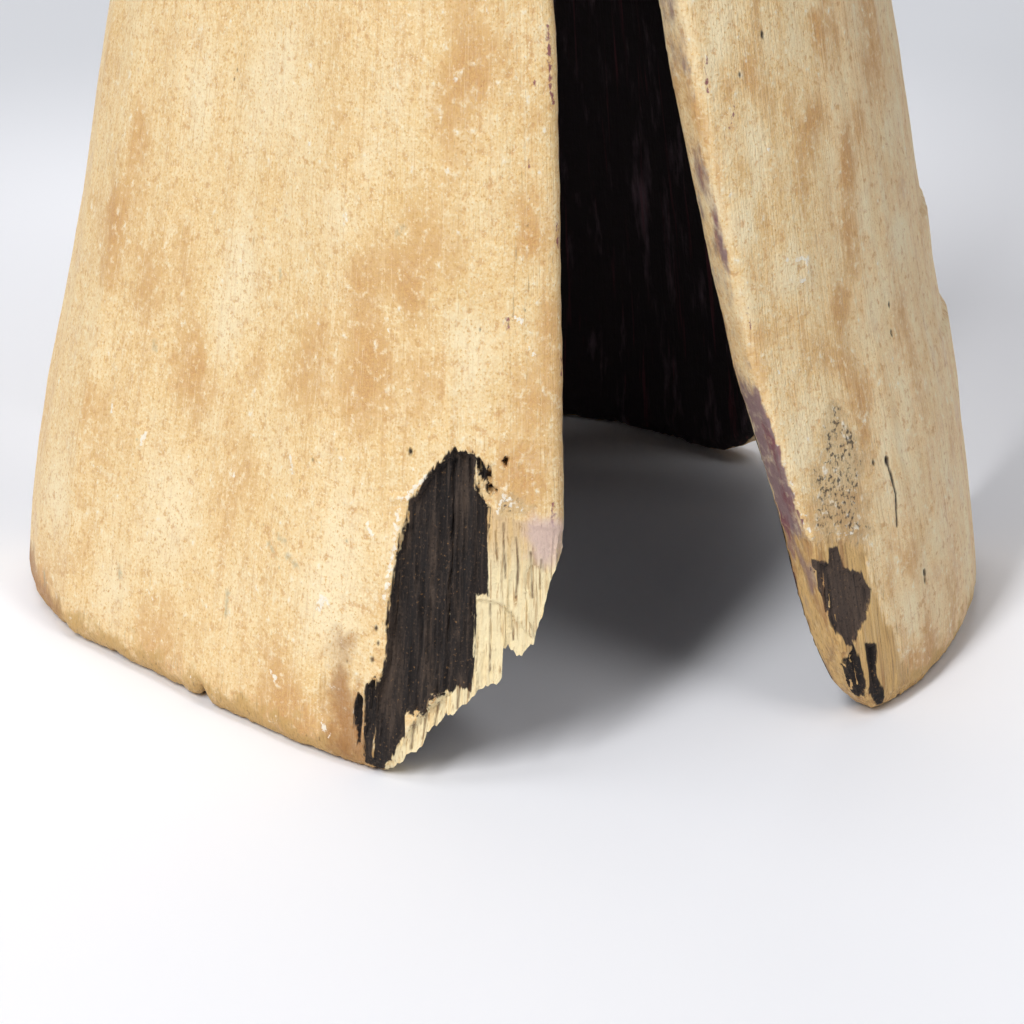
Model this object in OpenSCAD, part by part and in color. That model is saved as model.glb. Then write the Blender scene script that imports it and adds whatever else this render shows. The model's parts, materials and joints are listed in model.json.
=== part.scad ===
// Low folding tripod: three broad hollow-backed wooden legs hinged under a round head
// Millimetres, Z up, feet on Z = 0, camera screw on the Z axis
// A leg's own frame has X outward from the axis and Y along its hinge bolt

/* [Legs] */
// Outer radius of the spread feet on the floor
foot_r = 142.5; // [136:0.5:150]
// Outer radius of the legs at the waist
waist_r = 104.5; // [100:0.5:110]
// Height of the waist, where the gaps stop narrowing
waist_z = 204; // [195:1:215]
// Outward swell of the lower leg
foot_swell = 2.4; // [0:0.2:4]
// Height over which the lower leg swells
swell_h = 107; // [80:1:130]
// Wall thickness of a leg at the foot
leg_wall = 13; // [10:0.5:16]
// Height where the shoulders start to round in
shoulder_z = 286; // [275:1:300]
// Height where the tenon of a leg starts
tenon_z = 330; // [320:1:345]
// Height of the tenon
tenon_h = 40; // [36:1:50]
// Width of the tenon along the hinge bolt
tenon_w = 44; // [38:1:50]
// Thickness of the tenon
tenon_t = 18; // [14:0.5:22]
// Width of the ledge round the foot of the tenon
ledge = 5; // [3:0.5:8]
// Rounding of the long edges, measured along the face
edge_round = 5; // [2:0.5:8]
// Rounding of the foot, measured up the wall
foot_round = 7; // [3:0.5:12]
// Depth of the hewn flat on the left leg, as a share of its radius
left_flat = 0.155; // [0:0.005:0.2]
// Depth of the hewn flat on the right of the rear leg, as a share of its radius
rear_flat = 0.12; // [0:0.005:0.15]
// Depth of the hewn flat on the back of the rear leg, as a share of its radius
back_flat = 0.05; // [0:0.005:0.1]
// Height of the corner broken off the left leg
break_h = 58; // [20:1:70]
// Height of the worn corner of the right leg
worn_h = 38; // [10:1:50]
// Height of the worn corners elsewhere
corner_h = 12; // [4:1:20]

/* [Hinges] */
// Distance of a hinge bolt from the camera screw's axis
hinge_r = 58; // [54:0.5:64]
// Radius of a hinge bolt
bolt_r = 4; // [3:0.25:5]
// Radius of the head of a hinge bolt
bolt_head_r = 7; // [6:0.5:8]
// Height of the head of a hinge bolt
bolt_head_h = 5; // [3:0.5:7]
// Width of the knuckle on a leg socket
lug_w = 16; // [12:1:20]
// Rounding radius of the knuckle and of the bracket cheeks
cheek_r = 9.5; // [8:0.25:11]
// Thickness of a bracket cheek
cheek_t = 5; // [4:0.5:6]
// Thickness of a bracket's base plate
bracket_t = 4; // [3:0.5:6]
// Length of a bracket's base plate outward from the axis
bracket_len = 26; // [24:1:30]
// Width of a bracket's base plate along the bolt
bracket_w = 60; // [56:1:66]
// Corner radius of a bracket's base plate
bracket_corner = 5; // [2:0.5:8]
// Thickness of a socket's plates
socket_t = 3; // [2:0.25:4]
// Step from the sides of the tenon to a socket's plates
socket_step = 2; // [1:0.5:3]
// Thickness of a friction washer
friction_t = 1; // [0.8:0.1:1.5]
// Radius of a friction washer
friction_r = 9; // [7:0.5:9.5]
// Thickness of the plain washer under a wing nut
washer_t = 1.2; // [0.8:0.1:2]
// Radius of the plain washer under a wing nut
washer_r = 8; // [7:0.5:9]
// Reach of the wings from the bolt axis
wing_r = 14; // [12:0.5:16]
// Radius of the hub of a wing nut at its seat
hub_r = 7; // [6:0.25:8]
// Height of the hub of a wing nut
hub_h = 11; // [9:0.5:13]
// Thickness of a wing
wing_t = 3; // [2:0.5:4]
// Height of the wings above the seat of their hub
wing_lift = 3; // [2:0.5:4]
// Clearance of the wings to the plates of a socket
wing_gap = 1.5; // [1:0.25:3]
// Length of a hinge bolt that stands out of its wing nut
bolt_out = 3; // [2:0.5:5]

/* [Head] */
// Thickness of the wooden head
head_t = 30; // [24:1:40]
// Rim of the head outside the bracket plates
head_margin = 4; // [2:0.5:8]
// Radius of the cove turned round the head
cove_r = 7; // [4:0.5:8]
// Thickness of the brass top plate
plate_t = 3; // [2:0.25:4]
// Step from the rim of the head to the top plate
plate_inset = 9; // [6:0.5:14]
// Thickness of the leather facing
facing_t = 2; // [1.5:0.25:3]
// Step from the rim of the top plate to the facing
facing_inset = 16; // [14:0.5:20]
// Number of screws in the top plate
plate_screw_n = 6; // [3:1:8]
// Shank radius of the wood screws
screw_r = 2; // [1.5:0.25:2.5]
// Head radius of the wood screws
screw_head_r = 3.8; // [3.5:0.1:4.5]
// Depth of a wood screw in the wood
screw_bite = 7; // [5:0.5:8]

/* [Camera screw] */
// Radius of the camera thread, for a three-eighths inch screw
thread_r = 4.7625; // [3.175:0.0125:4.8]
// Length of thread that stands out of the facing
thread_out = 12; // [9:0.5:15]
// Extra radius of the plain shank below the thread
shank_step = 1.2; // [0.8:0.1:1.6]
// Radius of the collar that keeps the screw in the head
collar_r = 8; // [7:0.5:10]
// Thickness of the collar
collar_t = 3.6; // [2.5:0.1:5]
// Radius of the knob
knob_r = 17; // [14:0.5:20]
// Thickness of the knob's rim
knob_t = 9; // [7:0.5:12]
// Radius of the knob's hub
knob_hub_r = 9; // [7.5:0.5:11]
// Height of the knob's hub
knob_hub_h = 8; // [6:0.5:10]
// Number of flutes round the knob
flute_n = 24; // [12:1:30]
// Radius of a flute
flute_r = 1.3; // [0.8:0.1:1.5]
// Radius of the pin through the knob
pin_r = 1.5; // [1:0.1:2]

/* [Fits] */
// Radial clearance of turning pieces
run_gap = 0.08; // [0.03:0.01:0.1]
// Radial clearance of fixed screws and pins in their holes
seat_gap = 0.05; // [0.02:0.01:0.1]
// Clearance between flat faces that slide or stop on each other
slide_gap = 0.1; // [0.05:0.05:0.3]
// Clearance under the cheeks as a leg swings
swing_gap = 0.5; // [0.4:0.1:1]
// Clearance of the wings and the knob to their neighbours
finger_gap = 3; // [2:0.5:5]

/* [Hidden] */
$fn = 64;
// Overlap that fuses pieces of one solid and lets cutters pass through
fuse = 1;
// Directions of the three hinges round the camera screw
right_az = -30;
rear_az = 90;
left_az = 210;
AZ = [left_az, right_az, rear_az];
// Heights that follow from the sizes above
tenon_top = tenon_z + tenon_h;
hinge_z = tenon_top + socket_t + cheek_r + swing_gap;
bracket_drop = wing_r + finger_gap;
head_z = hinge_z + bracket_drop + bracket_t;
plate_z = head_z + head_t;
facing_z = plate_z + plate_t;
thread_z = facing_z + facing_t;
// Radii and widths that follow
tenon_out = hinge_r + tenon_t / 2;
neck_r = tenon_out + ledge;
socket_w = tenon_w - 2 * socket_step;
ledge_rise = 1.5;
plate_h = tenon_h - 2 * ledge_rise;
head_r = hinge_r + bracket_len / 2 + head_margin;
plate_r = head_r - plate_inset;
facing_r = plate_r - facing_inset;
facing_hole_r = collar_r;
shank_r = thread_r + shank_step;
head_cone_h = screw_head_r - screw_r;
slot_w = 1;
slot_d = 0.8;
// Places along a hinge bolt, measured from the middle of the knuckle
cheek_in = lug_w / 2 + slide_gap + friction_t;
cheek_out = cheek_in + cheek_t;
nut_seat = cheek_out + washer_t + slide_gap;
wing_seat = max(nut_seat + wing_lift, socket_w / 2 + wing_gap);
bolt_end = nut_seat + hub_h + bolt_out;
// Grid of a leg: points across half a face edge, across a face and up the body
edge_n = 3;
face_n = 14;
body_n = 15;
shoulder_n = 6;
half_n = 2 * edge_n + face_n + 1;
// A leg's edge angles on each side at foot, waist and shoulder,
// then height, share of width and sharpness of the lost corner on each side,
// then depth, middle and spread of each hewn flat, in degrees from the hinge
LEFT = [[-47.5, -52, -51], [60, 61, 56], [corner_h, 0.1, 2], [break_h, 0.19, 1.35],
  [[left_flat, 10.5, 27]]];
RIGHT = [[-27.5, -42, -50], [32.5, 46, 50.5], [worn_h, 0.16, 2.2], [corner_h, 0.1, 2],
  [[0, 0, 30]]];
REAR = [[-53.5, -54.5, -50.5], [47.5, 52, 51], [corner_h, 0.1, 2], [corner_h, 0.1, 2],
  [[rear_flat, -50, 26], [back_flat, 20, 25]]];
// Height below which a lost corner lifts the rows of the grid
lift_z = 100;
// Share of the wall left at the worn tread of the foot
tread = 0.5;
// Squareness of the rounded long edges
square_edge = 0.6;

function mix(a, b, k) = a + (b - a) * k;
function ease(k) = k * k * (3 - 2 * k);
function clamp01(k) = max(0, min(1, k));

// Outer radius of a leg at height z: straight with a swell, then an ogee into the neck
function ogee(k) = (2 * k - 3) * k * k + 1;
function lead(k) = k * (1 - k) * (1 - k);
function upper(k) = ogee(k) * waist_r + (1 - ogee(k)) * neck_r
  + lead(k) * (waist_r - foot_r) / waist_z * (tenon_z - waist_z);
function lower(z) = mix(foot_r, waist_r, z / waist_z)
  + (z < swell_h ? foot_swell * sin(180 * z / swell_h) : 0);
function rise(z) = clamp01((z - waist_z) / (tenon_z - waist_z));
function outline(z) = z < waist_z ? lower(z) : upper(rise(z));

// Share of the way from the shoulder to the tenon
function neck(z) = clamp01((z - shoulder_z) / (tenon_z - shoulder_z));
function wall(z) = z > tenon_z ? tenon_t : mix(leg_wall, tenon_t + 1.5 * ledge, pow(z / tenon_z, 3));

// Plan shape of each leg at angle a from its hinge, round at the neck and flat on the tenon
function total(list, k) = k < 0 ? 0 : list[k] + total(list, k - 1);
function hewn(flat, a) = flat[0] * exp(-pow((a - flat[1]) / flat[2], 2));
function plan(flats, a) = total([for (f = flats) hewn(f, a)], len(flats) - 1);
function face_r(leg, a, z) = z > tenon_z ? tenon_out / cos(a)
  : outline(z) * (1 - plan(leg[4], a) * (1 - ease(rise(z))));

// Angle of a leg's edge at height z
function edge_low(e, z) = z < waist_z ? mix(e[0], e[1], z / waist_z)
  : mix(e[1], e[2], clamp01((z - waist_z) / (shoulder_z - waist_z)));
function tenon_a(e) = sign(e[0]) * atan(tenon_w / 2 / tenon_out);
function neck_a(e) = sign(e[0]) * atan((tenon_w / 2 + ledge) / neck_r);
function edge_a(e, z) = z > tenon_z ? tenon_a(e)
  : mix(neck_a(e), edge_low(e, z), sqrt(1 - pow(neck(z), 2)));

// Height of the tread at share u of the width
function lost(c, u) = c[0] * pow(max(0, 1 - u / c[1]), c[2]);
function tread_z(leg, u) = lost(leg[2], u) + lost(leg[3], 1 - u);
function lift(z, t) = z < lift_z ? t + z * (lift_z - t) / lift_z : z;

// Share across the width and share through the wall of point k on half a section
function turn(k) = 90 * (k + 0.5) / edge_n;
function across(k, e) = k < edge_n ? e * (1 - pow(cos(turn(k)), square_edge))
  : k > half_n / 2 ? 1 - across(half_n - 1 - k, e)
  : mix(e, 1 - e, 0.5 - 0.5 * cos(180 * (k - edge_n) / face_n));
function depth(k) = k < edge_n ? 0.5 * (1 - pow(sin(turn(k)), square_edge))
  : k >= half_n - edge_n ? depth(half_n - 1 - k) : 0;

// Point i of the section at row height z
function spot(leg, i, z) =
  let (k = i < half_n ? i : 2 * half_n - 1 - i)
  let (a0 = edge_a(leg[0], z), a1 = edge_a(leg[1], z))
  let (e = mix(edge_round, 1.5, neck(z)) / ((a1 - a0) * PI / 180 * outline(z)))
  let (u = across(k, e), side = i < half_n ? depth(k) : 1 - depth(k))
  let (bite = (1 - tread) * pow(1 - clamp01(z / foot_round), 2))
  let (through = mix(side, 0.5, bite), zz = lift(z, tread_z(leg, u)))
  let (a = mix(a0, a1, u), r = face_r(leg, a, zz), w = through * wall(zz))
  let (b = z > tenon_z ? 0 : a)
  [r * cos(a) - w * cos(b), r * sin(a) - w * sin(b), zz];

function row_heights() = concat(
  [for (k = [0, 0.25, 0.6]) k * foot_round],
  [for (k = [0 : body_n]) mix(foot_round, shoulder_z, k / body_n)],
  [for (k = [1 : shoulder_n]) mix(shoulder_z, tenon_z, sin(90 * k / shoulder_n))],
  [tenon_z + ledge_rise, tenon_top]);

// Closed skin of a leg over its rows, with both ends capped
module leg(data) {
  rows = row_heights();
  n = 2 * half_n;
  last = len(rows) - 1;
  skin = [for (z = rows, i = [0 : n - 1]) spot(data, i, z)];
  sides = [for (r = [0 : last - 1], i = [0 : n - 1], t = [0, 1])
    let (j = (i + 1) % n)
    t == 0 ? [r * n + i, (r + 1) * n + i, (r + 1) * n + j] : [r * n + i, (r + 1) * n + j, r * n + j]];
  foot = [for (k = [0 : half_n - 2], t = [0, 1])
    t == 0 ? [k, k + 1, n - 2 - k] : [k, n - 2 - k, n - 1 - k]];
  top = [for (f = foot) [for (q = [2, 1, 0]) f[q] + last * n]];
  polyhedron(points = skin, faces = concat(sides, foot, top), convexity = 8);
}

// Turns a child into a leg's own frame
module at_leg(az) {
  rotate([0, 0, az]) children();
}

// Moves a child to a leg's hinge, in that leg's frame
module at_hinge(az) {
  at_leg(az) translate([hinge_r, 0, hinge_z]) children();
}

// Round bar along a hinge bolt from y0 to y1
module bolt_bar(r, y0, y1) {
  translate([0, y1, 0]) rotate([90, 0, 0]) cylinder(r = r, h = y1 - y0);
}

// Flat shape in the hinge's X and Z, thickened from y0 to y1
module bolt_slab(y0, y1) {
  translate([0, y1, 0]) rotate([90, 0, 0]) linear_extrude(y1 - y0) children();
}

// Countersunk wood screw along -Z with its head flush at Z = 0
module wood_screw(depth) {
  difference() {
    union() {
      translate([0, 0, -head_cone_h]) cylinder(r1 = screw_r, r2 = screw_head_r, h = head_cone_h);
      translate([0, 0, -depth]) cylinder(r = screw_r, h = depth - head_cone_h / 2);
    }
    translate([-screw_head_r - fuse, -slot_w / 2, -slot_d]) cube([2 * (screw_head_r + fuse), slot_w, slot_d + fuse]);
  }
}

// Hole that takes a wood screw with clearance
module screw_hole(depth) {
  gap = seat_gap;
  translate([0, 0, -head_cone_h]) cylinder(r1 = screw_r + gap, r2 = screw_head_r + gap, h = head_cone_h);
  translate([0, 0, -depth]) cylinder(r = screw_r + gap, h = depth);
  translate([0, 0, -slide_gap / 2]) cylinder(r = screw_head_r + gap, h = fuse);
}

// Screw places of one hinge bracket, pointing up into the head
module bracket_screw_spots() {
  for (x = [-1, 1], y = [-1, 1])
    translate([x * (bracket_len / 2 - bracket_corner), y * (bracket_w / 2 - bracket_corner - fuse), bracket_drop])
      mirror([0, 0, 1]) children();
}

// Screw places on both plates of one socket, pointing into the tenon
module socket_screw_spots() {
  for (s = [-1, 1], p = [[-socket_w / 4, 0.3], [socket_w / 4, 0.3], [0, 0.72]])
    translate([hinge_r + s * (tenon_t / 2 + socket_t), p[0], tenon_top - p[1] * plate_h])
      rotate([0, s * 90, 0]) children();
}

// Screw places round the top plate
module plate_screw_spots() {
  for (k = [0 : plate_screw_n - 1])
    rotate([0, 0, 360 * k / plate_screw_n])
      translate([plate_r - facing_inset / 2, 0, facing_z]) children();
}

// Outline of a bracket's base plate with round corners
module base_outline() {
  a = bracket_len / 2;
  b = bracket_w / 2;
  c = bracket_corner;
  square([2 * (a - c), 2 * b], center = true);
  square([2 * a, 2 * (b - c)], center = true);
  for (x = [-1, 1], y = [-1, 1])
    translate([x * (a - c), y * (b - c)]) circle(r = c);
}

// Cheek of a bracket: round below the bolt, with a square stop on the outer side
module cheek_outline() {
  circle(r = cheek_r);
  translate([-cheek_r, 0]) square([2 * cheek_r, bracket_drop + fuse]);
  translate([0, -cheek_r - swing_gap + slide_gap]) square([cheek_r, cheek_r + swing_gap]);
}

module hinge_bracket(az) {
  at_hinge(az) difference() {
    union() {
      translate([0, 0, bracket_drop]) linear_extrude(bracket_t) base_outline();
      for (y = [-cheek_out, cheek_in]) bolt_slab(y, y + cheek_t) cheek_outline();
    }
    bolt_bar(bolt_r + seat_gap, -cheek_out - fuse, cheek_out + fuse);
    bracket_screw_spots() screw_hole(bracket_t + fuse);
  }
}

module hinge_bolt(az) {
  at_hinge(az) difference() {
    union() {
      bolt_bar(bolt_r, -cheek_out - fuse, bolt_end);
      bolt_bar(bolt_head_r, -cheek_out - bolt_head_h, -cheek_out);
    }
    translate([-bolt_head_r - fuse, -cheek_out - bolt_head_h - fuse, -slot_w])
      cube([2 * (bolt_head_r + fuse), bolt_head_h / 3 + fuse, 2 * slot_w]);
  }
}

// Ear of a wing nut in the hinge's frame, reaching out along X
module wing() {
  tip = wing_r - wing_t;
  translate([0, 0, -wing_t / 2]) linear_extrude(wing_t) hull() {
    translate([bolt_r + wing_t / 2, wing_seat]) square([wing_t, hub_h / 2]);
    translate([tip, wing_seat + hub_h / 2 + wing_t]) circle(r = wing_t);
  }
}

module wing_nut(az) {
  at_hinge(az) difference() {
    union() {
      translate([0, nut_seat + hub_h, 0]) rotate([90, 0, 0]) cylinder(r1 = hub_r - 1.5, r2 = hub_r, h = hub_h);
      wing();
      mirror([1, 0, 0]) wing();
    }
    bolt_bar(bolt_r + run_gap, nut_seat - fuse, nut_seat + 2 * hub_h);
  }
}

// Brass cap on a tenon: two plates, a bridge and the knuckle
module leg_socket(az) {
  at_leg(az) difference() {
    union() {
      for (x = [hinge_r - tenon_t / 2 - socket_t, hinge_r + tenon_t / 2])
        translate([x, 0, tenon_top]) rotate([90, 0, 90]) linear_extrude(socket_t) plate_outline();
      translate([hinge_r - tenon_t / 2 - socket_t, -socket_w / 2, tenon_top])
        cube([tenon_t + 2 * socket_t, socket_w, socket_t]);
      translate([hinge_r, 0, hinge_z]) bolt_slab(-lug_w / 2, lug_w / 2) lug_outline();
    }
    translate([hinge_r, 0, hinge_z]) bolt_bar(bolt_r + run_gap, -lug_w, lug_w);
    socket_screw_spots() screw_hole(socket_t + fuse);
  }
}

// Plate of a socket: square above, round at its lower end
module plate_outline() {
  translate([-socket_w / 2, socket_w / 2 - plate_h]) square([socket_w, plate_h - socket_w / 2 + socket_t]);
  translate([0, socket_w / 2 - plate_h]) circle(r = socket_w / 2);
}

// Knuckle outline: round above the bolt, down into the bridge
module lug_outline() {
  foot = cheek_r + swing_gap + socket_t;
  circle(r = cheek_r);
  translate([-cheek_r, -foot]) square([2 * cheek_r, foot]);
}

module socket_screws(az) {
  at_leg(az) socket_screw_spots() wood_screw(socket_t + screw_bite);
}

module ring(r, hole, z0, z1) {
  translate([0, 0, z0]) difference() {
    cylinder(r = r, h = z1 - z0);
    translate([0, 0, -fuse]) cylinder(r = hole, h = z1 - z0 + 2 * fuse);
  }
}

module head_block() {
  color("peru") difference() {
    rotate_extrude() difference() {
      translate([0, head_z]) square([head_r, head_t]);
      translate([head_r + cove_r / 3, head_z + head_t * 0.62]) circle(r = cove_r);
    }
    translate([0, 0, head_z - fuse]) cylinder(r = shank_r + run_gap, h = head_t + 2 * fuse);
    translate([0, 0, plate_z - collar_t - 2 * slide_gap])
      cylinder(r = collar_r + run_gap, h = collar_t + 2 * slide_gap + fuse);
    for (az = AZ) at_hinge(az) bracket_screw_spots() screw_hole(bracket_t + screw_bite + slide_gap);
    plate_screw_spots() screw_hole(plate_t + screw_bite + slide_gap);
  }
}

module top_plate() {
  color("goldenrod") difference() {
    ring(plate_r, shank_r + run_gap, plate_z, facing_z);
    plate_screw_spots() screw_hole(plate_t + fuse);
  }
}

module plate_screws() {
  color("darkgoldenrod") plate_screw_spots() wood_screw(plate_t + screw_bite);
}

module head_facing() {
  color("saddlebrown") ring(facing_r, facing_hole_r, facing_z, thread_z);
}

module hinge_bracket_left() {
  color("goldenrod") hinge_bracket(left_az);
}

module hinge_bracket_right() {
  color("goldenrod") hinge_bracket(right_az);
}

module hinge_bracket_rear() {
  color("goldenrod") hinge_bracket(rear_az);
}

module bracket_screws() {
  color("darkgoldenrod") for (az = AZ)
    at_hinge(az) bracket_screw_spots() wood_screw(bracket_t + screw_bite);
}

module hinge_bolt_left() {
  color("silver") hinge_bolt(left_az);
}

module hinge_bolt_right() {
  color("silver") hinge_bolt(right_az);
}

module hinge_bolt_rear() {
  color("silver") hinge_bolt(rear_az);
}

module friction_washers() {
  color("saddlebrown") for (az = AZ, s = [0, 1]) at_hinge(az) mirror([0, s, 0]) difference() {
    bolt_bar(friction_r, cheek_in - friction_t, cheek_in);
    bolt_bar(bolt_r + seat_gap, 0, cheek_out);
  }
}

module nut_washers() {
  color("silver") for (az = AZ) at_hinge(az) difference() {
    bolt_bar(washer_r, cheek_out, cheek_out + washer_t);
    bolt_bar(bolt_r + seat_gap, 0, cheek_out + 2 * washer_t);
  }
}

module wing_nut_left() {
  color("gold") wing_nut(left_az);
}

module wing_nut_right() {
  color("gold") wing_nut(right_az);
}

module wing_nut_rear() {
  color("gold") wing_nut(rear_az);
}

// Shank with its captive collar, then the thread that enters the camera
module camera_screw() {
  knob_z = head_z - finger_gap - knob_t - knob_hub_h;
  color("silver") difference() {
    union() {
      translate([0, 0, knob_z]) cylinder(r = shank_r, h = thread_z - knob_z);
      translate([0, 0, plate_z - collar_t - slide_gap]) cylinder(r = collar_r, h = collar_t);
      translate([0, 0, thread_z - fuse]) cylinder(r = thread_r, h = thread_out);
      translate([0, 0, thread_z + thread_out - fuse]) cylinder(r1 = thread_r, r2 = thread_r - fuse, h = fuse);
    }
    translate([0, 0, knob_z + knob_hub_h / 2]) bolt_bar(pin_r + seat_gap, -knob_r, knob_r);
  }
}

module camera_knob() {
  rim_z = head_z - finger_gap - knob_t;
  color("goldenrod") difference() {
    union() {
      translate([0, 0, rim_z]) cylinder(r = knob_r, h = knob_t);
      translate([0, 0, rim_z - knob_hub_h]) cylinder(r = knob_hub_r, h = knob_hub_h + fuse);
    }
    for (k = [0 : flute_n - 1])
      rotate([0, 0, 360 * k / flute_n]) translate([knob_r, 0, rim_z - fuse])
        cylinder(r = flute_r, h = knob_t + 2 * fuse, $fn = 24);
    translate([0, 0, rim_z - knob_hub_h - fuse]) cylinder(r = shank_r + seat_gap, h = knob_t + knob_hub_h + 2 * fuse);
    translate([0, 0, rim_z - knob_hub_h / 2]) bolt_bar(pin_r + seat_gap, -knob_r, knob_r);
  }
}

module knob_pin() {
  color("silver") translate([0, 0, head_z - finger_gap - knob_t - knob_hub_h / 2])
    bolt_bar(pin_r, -knob_hub_r, knob_hub_r);
}

module leg_left() {
  color("burlywood") at_leg(left_az) leg(LEFT);
}

module leg_right() {
  color("burlywood") at_leg(right_az) leg(RIGHT);
}

module leg_rear() {
  color("burlywood") at_leg(rear_az) leg(REAR);
}

module leg_socket_left() {
  color("goldenrod") leg_socket(left_az);
}

module leg_socket_right() {
  color("goldenrod") leg_socket(right_az);
}

module leg_socket_rear() {
  color("goldenrod") leg_socket(rear_az);
}

module socket_screws_left() {
  color("darkgoldenrod") socket_screws(left_az);
}

module socket_screws_right() {
  color("darkgoldenrod") socket_screws(right_az);
}

module socket_screws_rear() {
  color("darkgoldenrod") socket_screws(rear_az);
}

head_block();
top_plate();
plate_screws();
head_facing();
hinge_bracket_left();
hinge_bracket_right();
hinge_bracket_rear();
bracket_screws();
hinge_bolt_left();
hinge_bolt_right();
hinge_bolt_rear();
friction_washers();
nut_washers();
wing_nut_left();
wing_nut_right();
wing_nut_rear();
camera_screw();
camera_knob();
knob_pin();
leg_left();
leg_right();
leg_rear();
leg_socket_left();
leg_socket_right();
leg_socket_rear();
socket_screws_left();
socket_screws_right();
socket_screws_rear();
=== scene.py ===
"""Looks of a low folding tripod: three weathered, hollow-backed wooden legs under a brass-bound head."""

import json
import math
import random

import bmesh
import bpy
import numpy as np
from mathutils import Matrix, Vector, noise


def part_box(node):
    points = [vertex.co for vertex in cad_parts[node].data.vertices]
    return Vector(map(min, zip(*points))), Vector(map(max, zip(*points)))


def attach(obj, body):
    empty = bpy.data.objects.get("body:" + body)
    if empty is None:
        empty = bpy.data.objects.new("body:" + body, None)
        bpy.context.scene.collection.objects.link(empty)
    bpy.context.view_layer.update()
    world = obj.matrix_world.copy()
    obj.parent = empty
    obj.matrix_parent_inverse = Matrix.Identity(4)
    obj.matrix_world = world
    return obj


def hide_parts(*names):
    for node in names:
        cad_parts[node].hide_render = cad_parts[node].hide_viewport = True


bl_info = {
    "name": "Folding tripod looks",
    "version": (1, 0, 0),
    "blender": (4, 5, 0),
    "location": "View3D > Sidebar > Tripod",
    "description": "Builds the visual model of a low wooden tripod around its CAD frame",
    "category": "Object",
}

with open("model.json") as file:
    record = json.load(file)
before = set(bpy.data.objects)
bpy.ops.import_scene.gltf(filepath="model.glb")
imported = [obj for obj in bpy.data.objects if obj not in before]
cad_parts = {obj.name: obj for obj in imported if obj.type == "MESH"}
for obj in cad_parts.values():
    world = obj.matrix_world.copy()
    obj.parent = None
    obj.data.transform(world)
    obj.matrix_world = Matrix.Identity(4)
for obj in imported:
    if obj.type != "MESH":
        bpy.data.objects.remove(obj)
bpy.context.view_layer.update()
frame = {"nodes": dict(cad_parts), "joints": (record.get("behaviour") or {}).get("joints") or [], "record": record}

MM = 0.001
SIDES = ("left", "right", "rear")
# Length along a leg's face of one degree round the axis, in mm, half way up the feet
ARC = 2.25
# Outer radius of the legs at the floor, in mm, and how far their walls lean in for each mm up
FOOT_RADIUS, LEAN = 142.5, 0.186
# Edges of the left leg in degrees round from its hinge
LEFT_EDGES = (-47.5, 60.2)
# Wander of the borders of rot on each leg, and of torn wood on all, in mm either way
ROT_FRAY = {"left": 1.2, "right": 0.4, "rear": 1.2}
RAW_FRAY = 0.8

# Marks on the legs, each point in degrees round from the leg's hinge and mm above the floor. They were
# picked in the photo and cast onto the legs' faces. Rot is the black core laid bare, raw is wood
# torn fresh, crust is a scaly dull skin.
LEFT_ROT = (
    (46.6, 88.8), (48.9, 88.2), (49.9, 86), (50, 81.1), (50.3, 76.7), (51.4, 73.4), (51.8, 68.7),
    (51.4, 62.1), (51.3, 56), (51.4, 50), (49.8, 50.6), (50, 41.7), (50, 33.7), (49.6, 25.3), (48.1, 26.5),
    (47.3, 25.1), (45, 23.1), (44.9, 19), (42.5, 18), (42.4, 12.3), (39.4, 0), (38.6, 0), (38.3, 6),
    (38.6, 13), (38.3, 20), (38.9, 27), (39.6, 32.9), (39.8, 41.1), (39.9, 52.3), (40.3, 59.1),
    (41.2, 64.9), (41.8, 73.4), (42.8, 77.3), (44.4, 82), (45.8, 85.4),
)
# Dark scabs beside the top of the core and streaks beside its foot
LEFT_SCABS = (
    ((35.9, 17), (36.4, 21.5), (37.2, 20), (37, 8), (36.4, 5)),
    ((37.3, 24), (38.7, 27), (39, 12), (38.8, 2), (37.5, 2)),
    ((49.8, 87), (51, 85.4), (51.8, 81), (50.8, 80.6), (49.9, 83.5)),
    ((52.6, 86.4), (53.7, 86.6), (53.4, 84.6)), ((51, 79.8), (52.6, 79), (52.4, 77.6), (51.2, 78)),
)
LEFT_RAW = (
    (49.5, 76.7), (51.6, 74.6), (52.7, 72.3), (55.1, 70.7), (58.5, 69.1), (63, 66), (63, -8), (38.4, -8),
    (40.2, 4), (43, 16), (46.5, 26), (48.5, 50), (49.5, 70),
)
LEFT_CRUST = (
    (49.6, 86), (51.6, 82.7), (52.2, 78.3), (53.4, 80), (55.5, 76), (57.2, 75), (55, 71.5), (52.4, 73),
    (51.2, 78), (50.2, 80),
)
LEFT_STAINS = (
    (
        (33, 35), (34.8, 34.6), (35, 27), (36.4, 21), (38.8, 20), (38.8, 0), (33.6, 0), (32.4, 8),
        (32.4, 16), (32.6, 26),
    ),
    ((-36, 12), (-29, 14.5), (-24, 10), (-18, 8), (-18, 2), (-36, 2)),
)
# Two flat blocks that split away deeper than the torn wood round them
LEFT_BLOCKS = (
    ((49.9, 50), (51.4, 49.6), (52.9, 49), (53, 20), (50, 20)),
    ((53.15, 49), (55, 43.6), (56.2, 40.5), (56, 30), (53.2, 30)),
)
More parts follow.
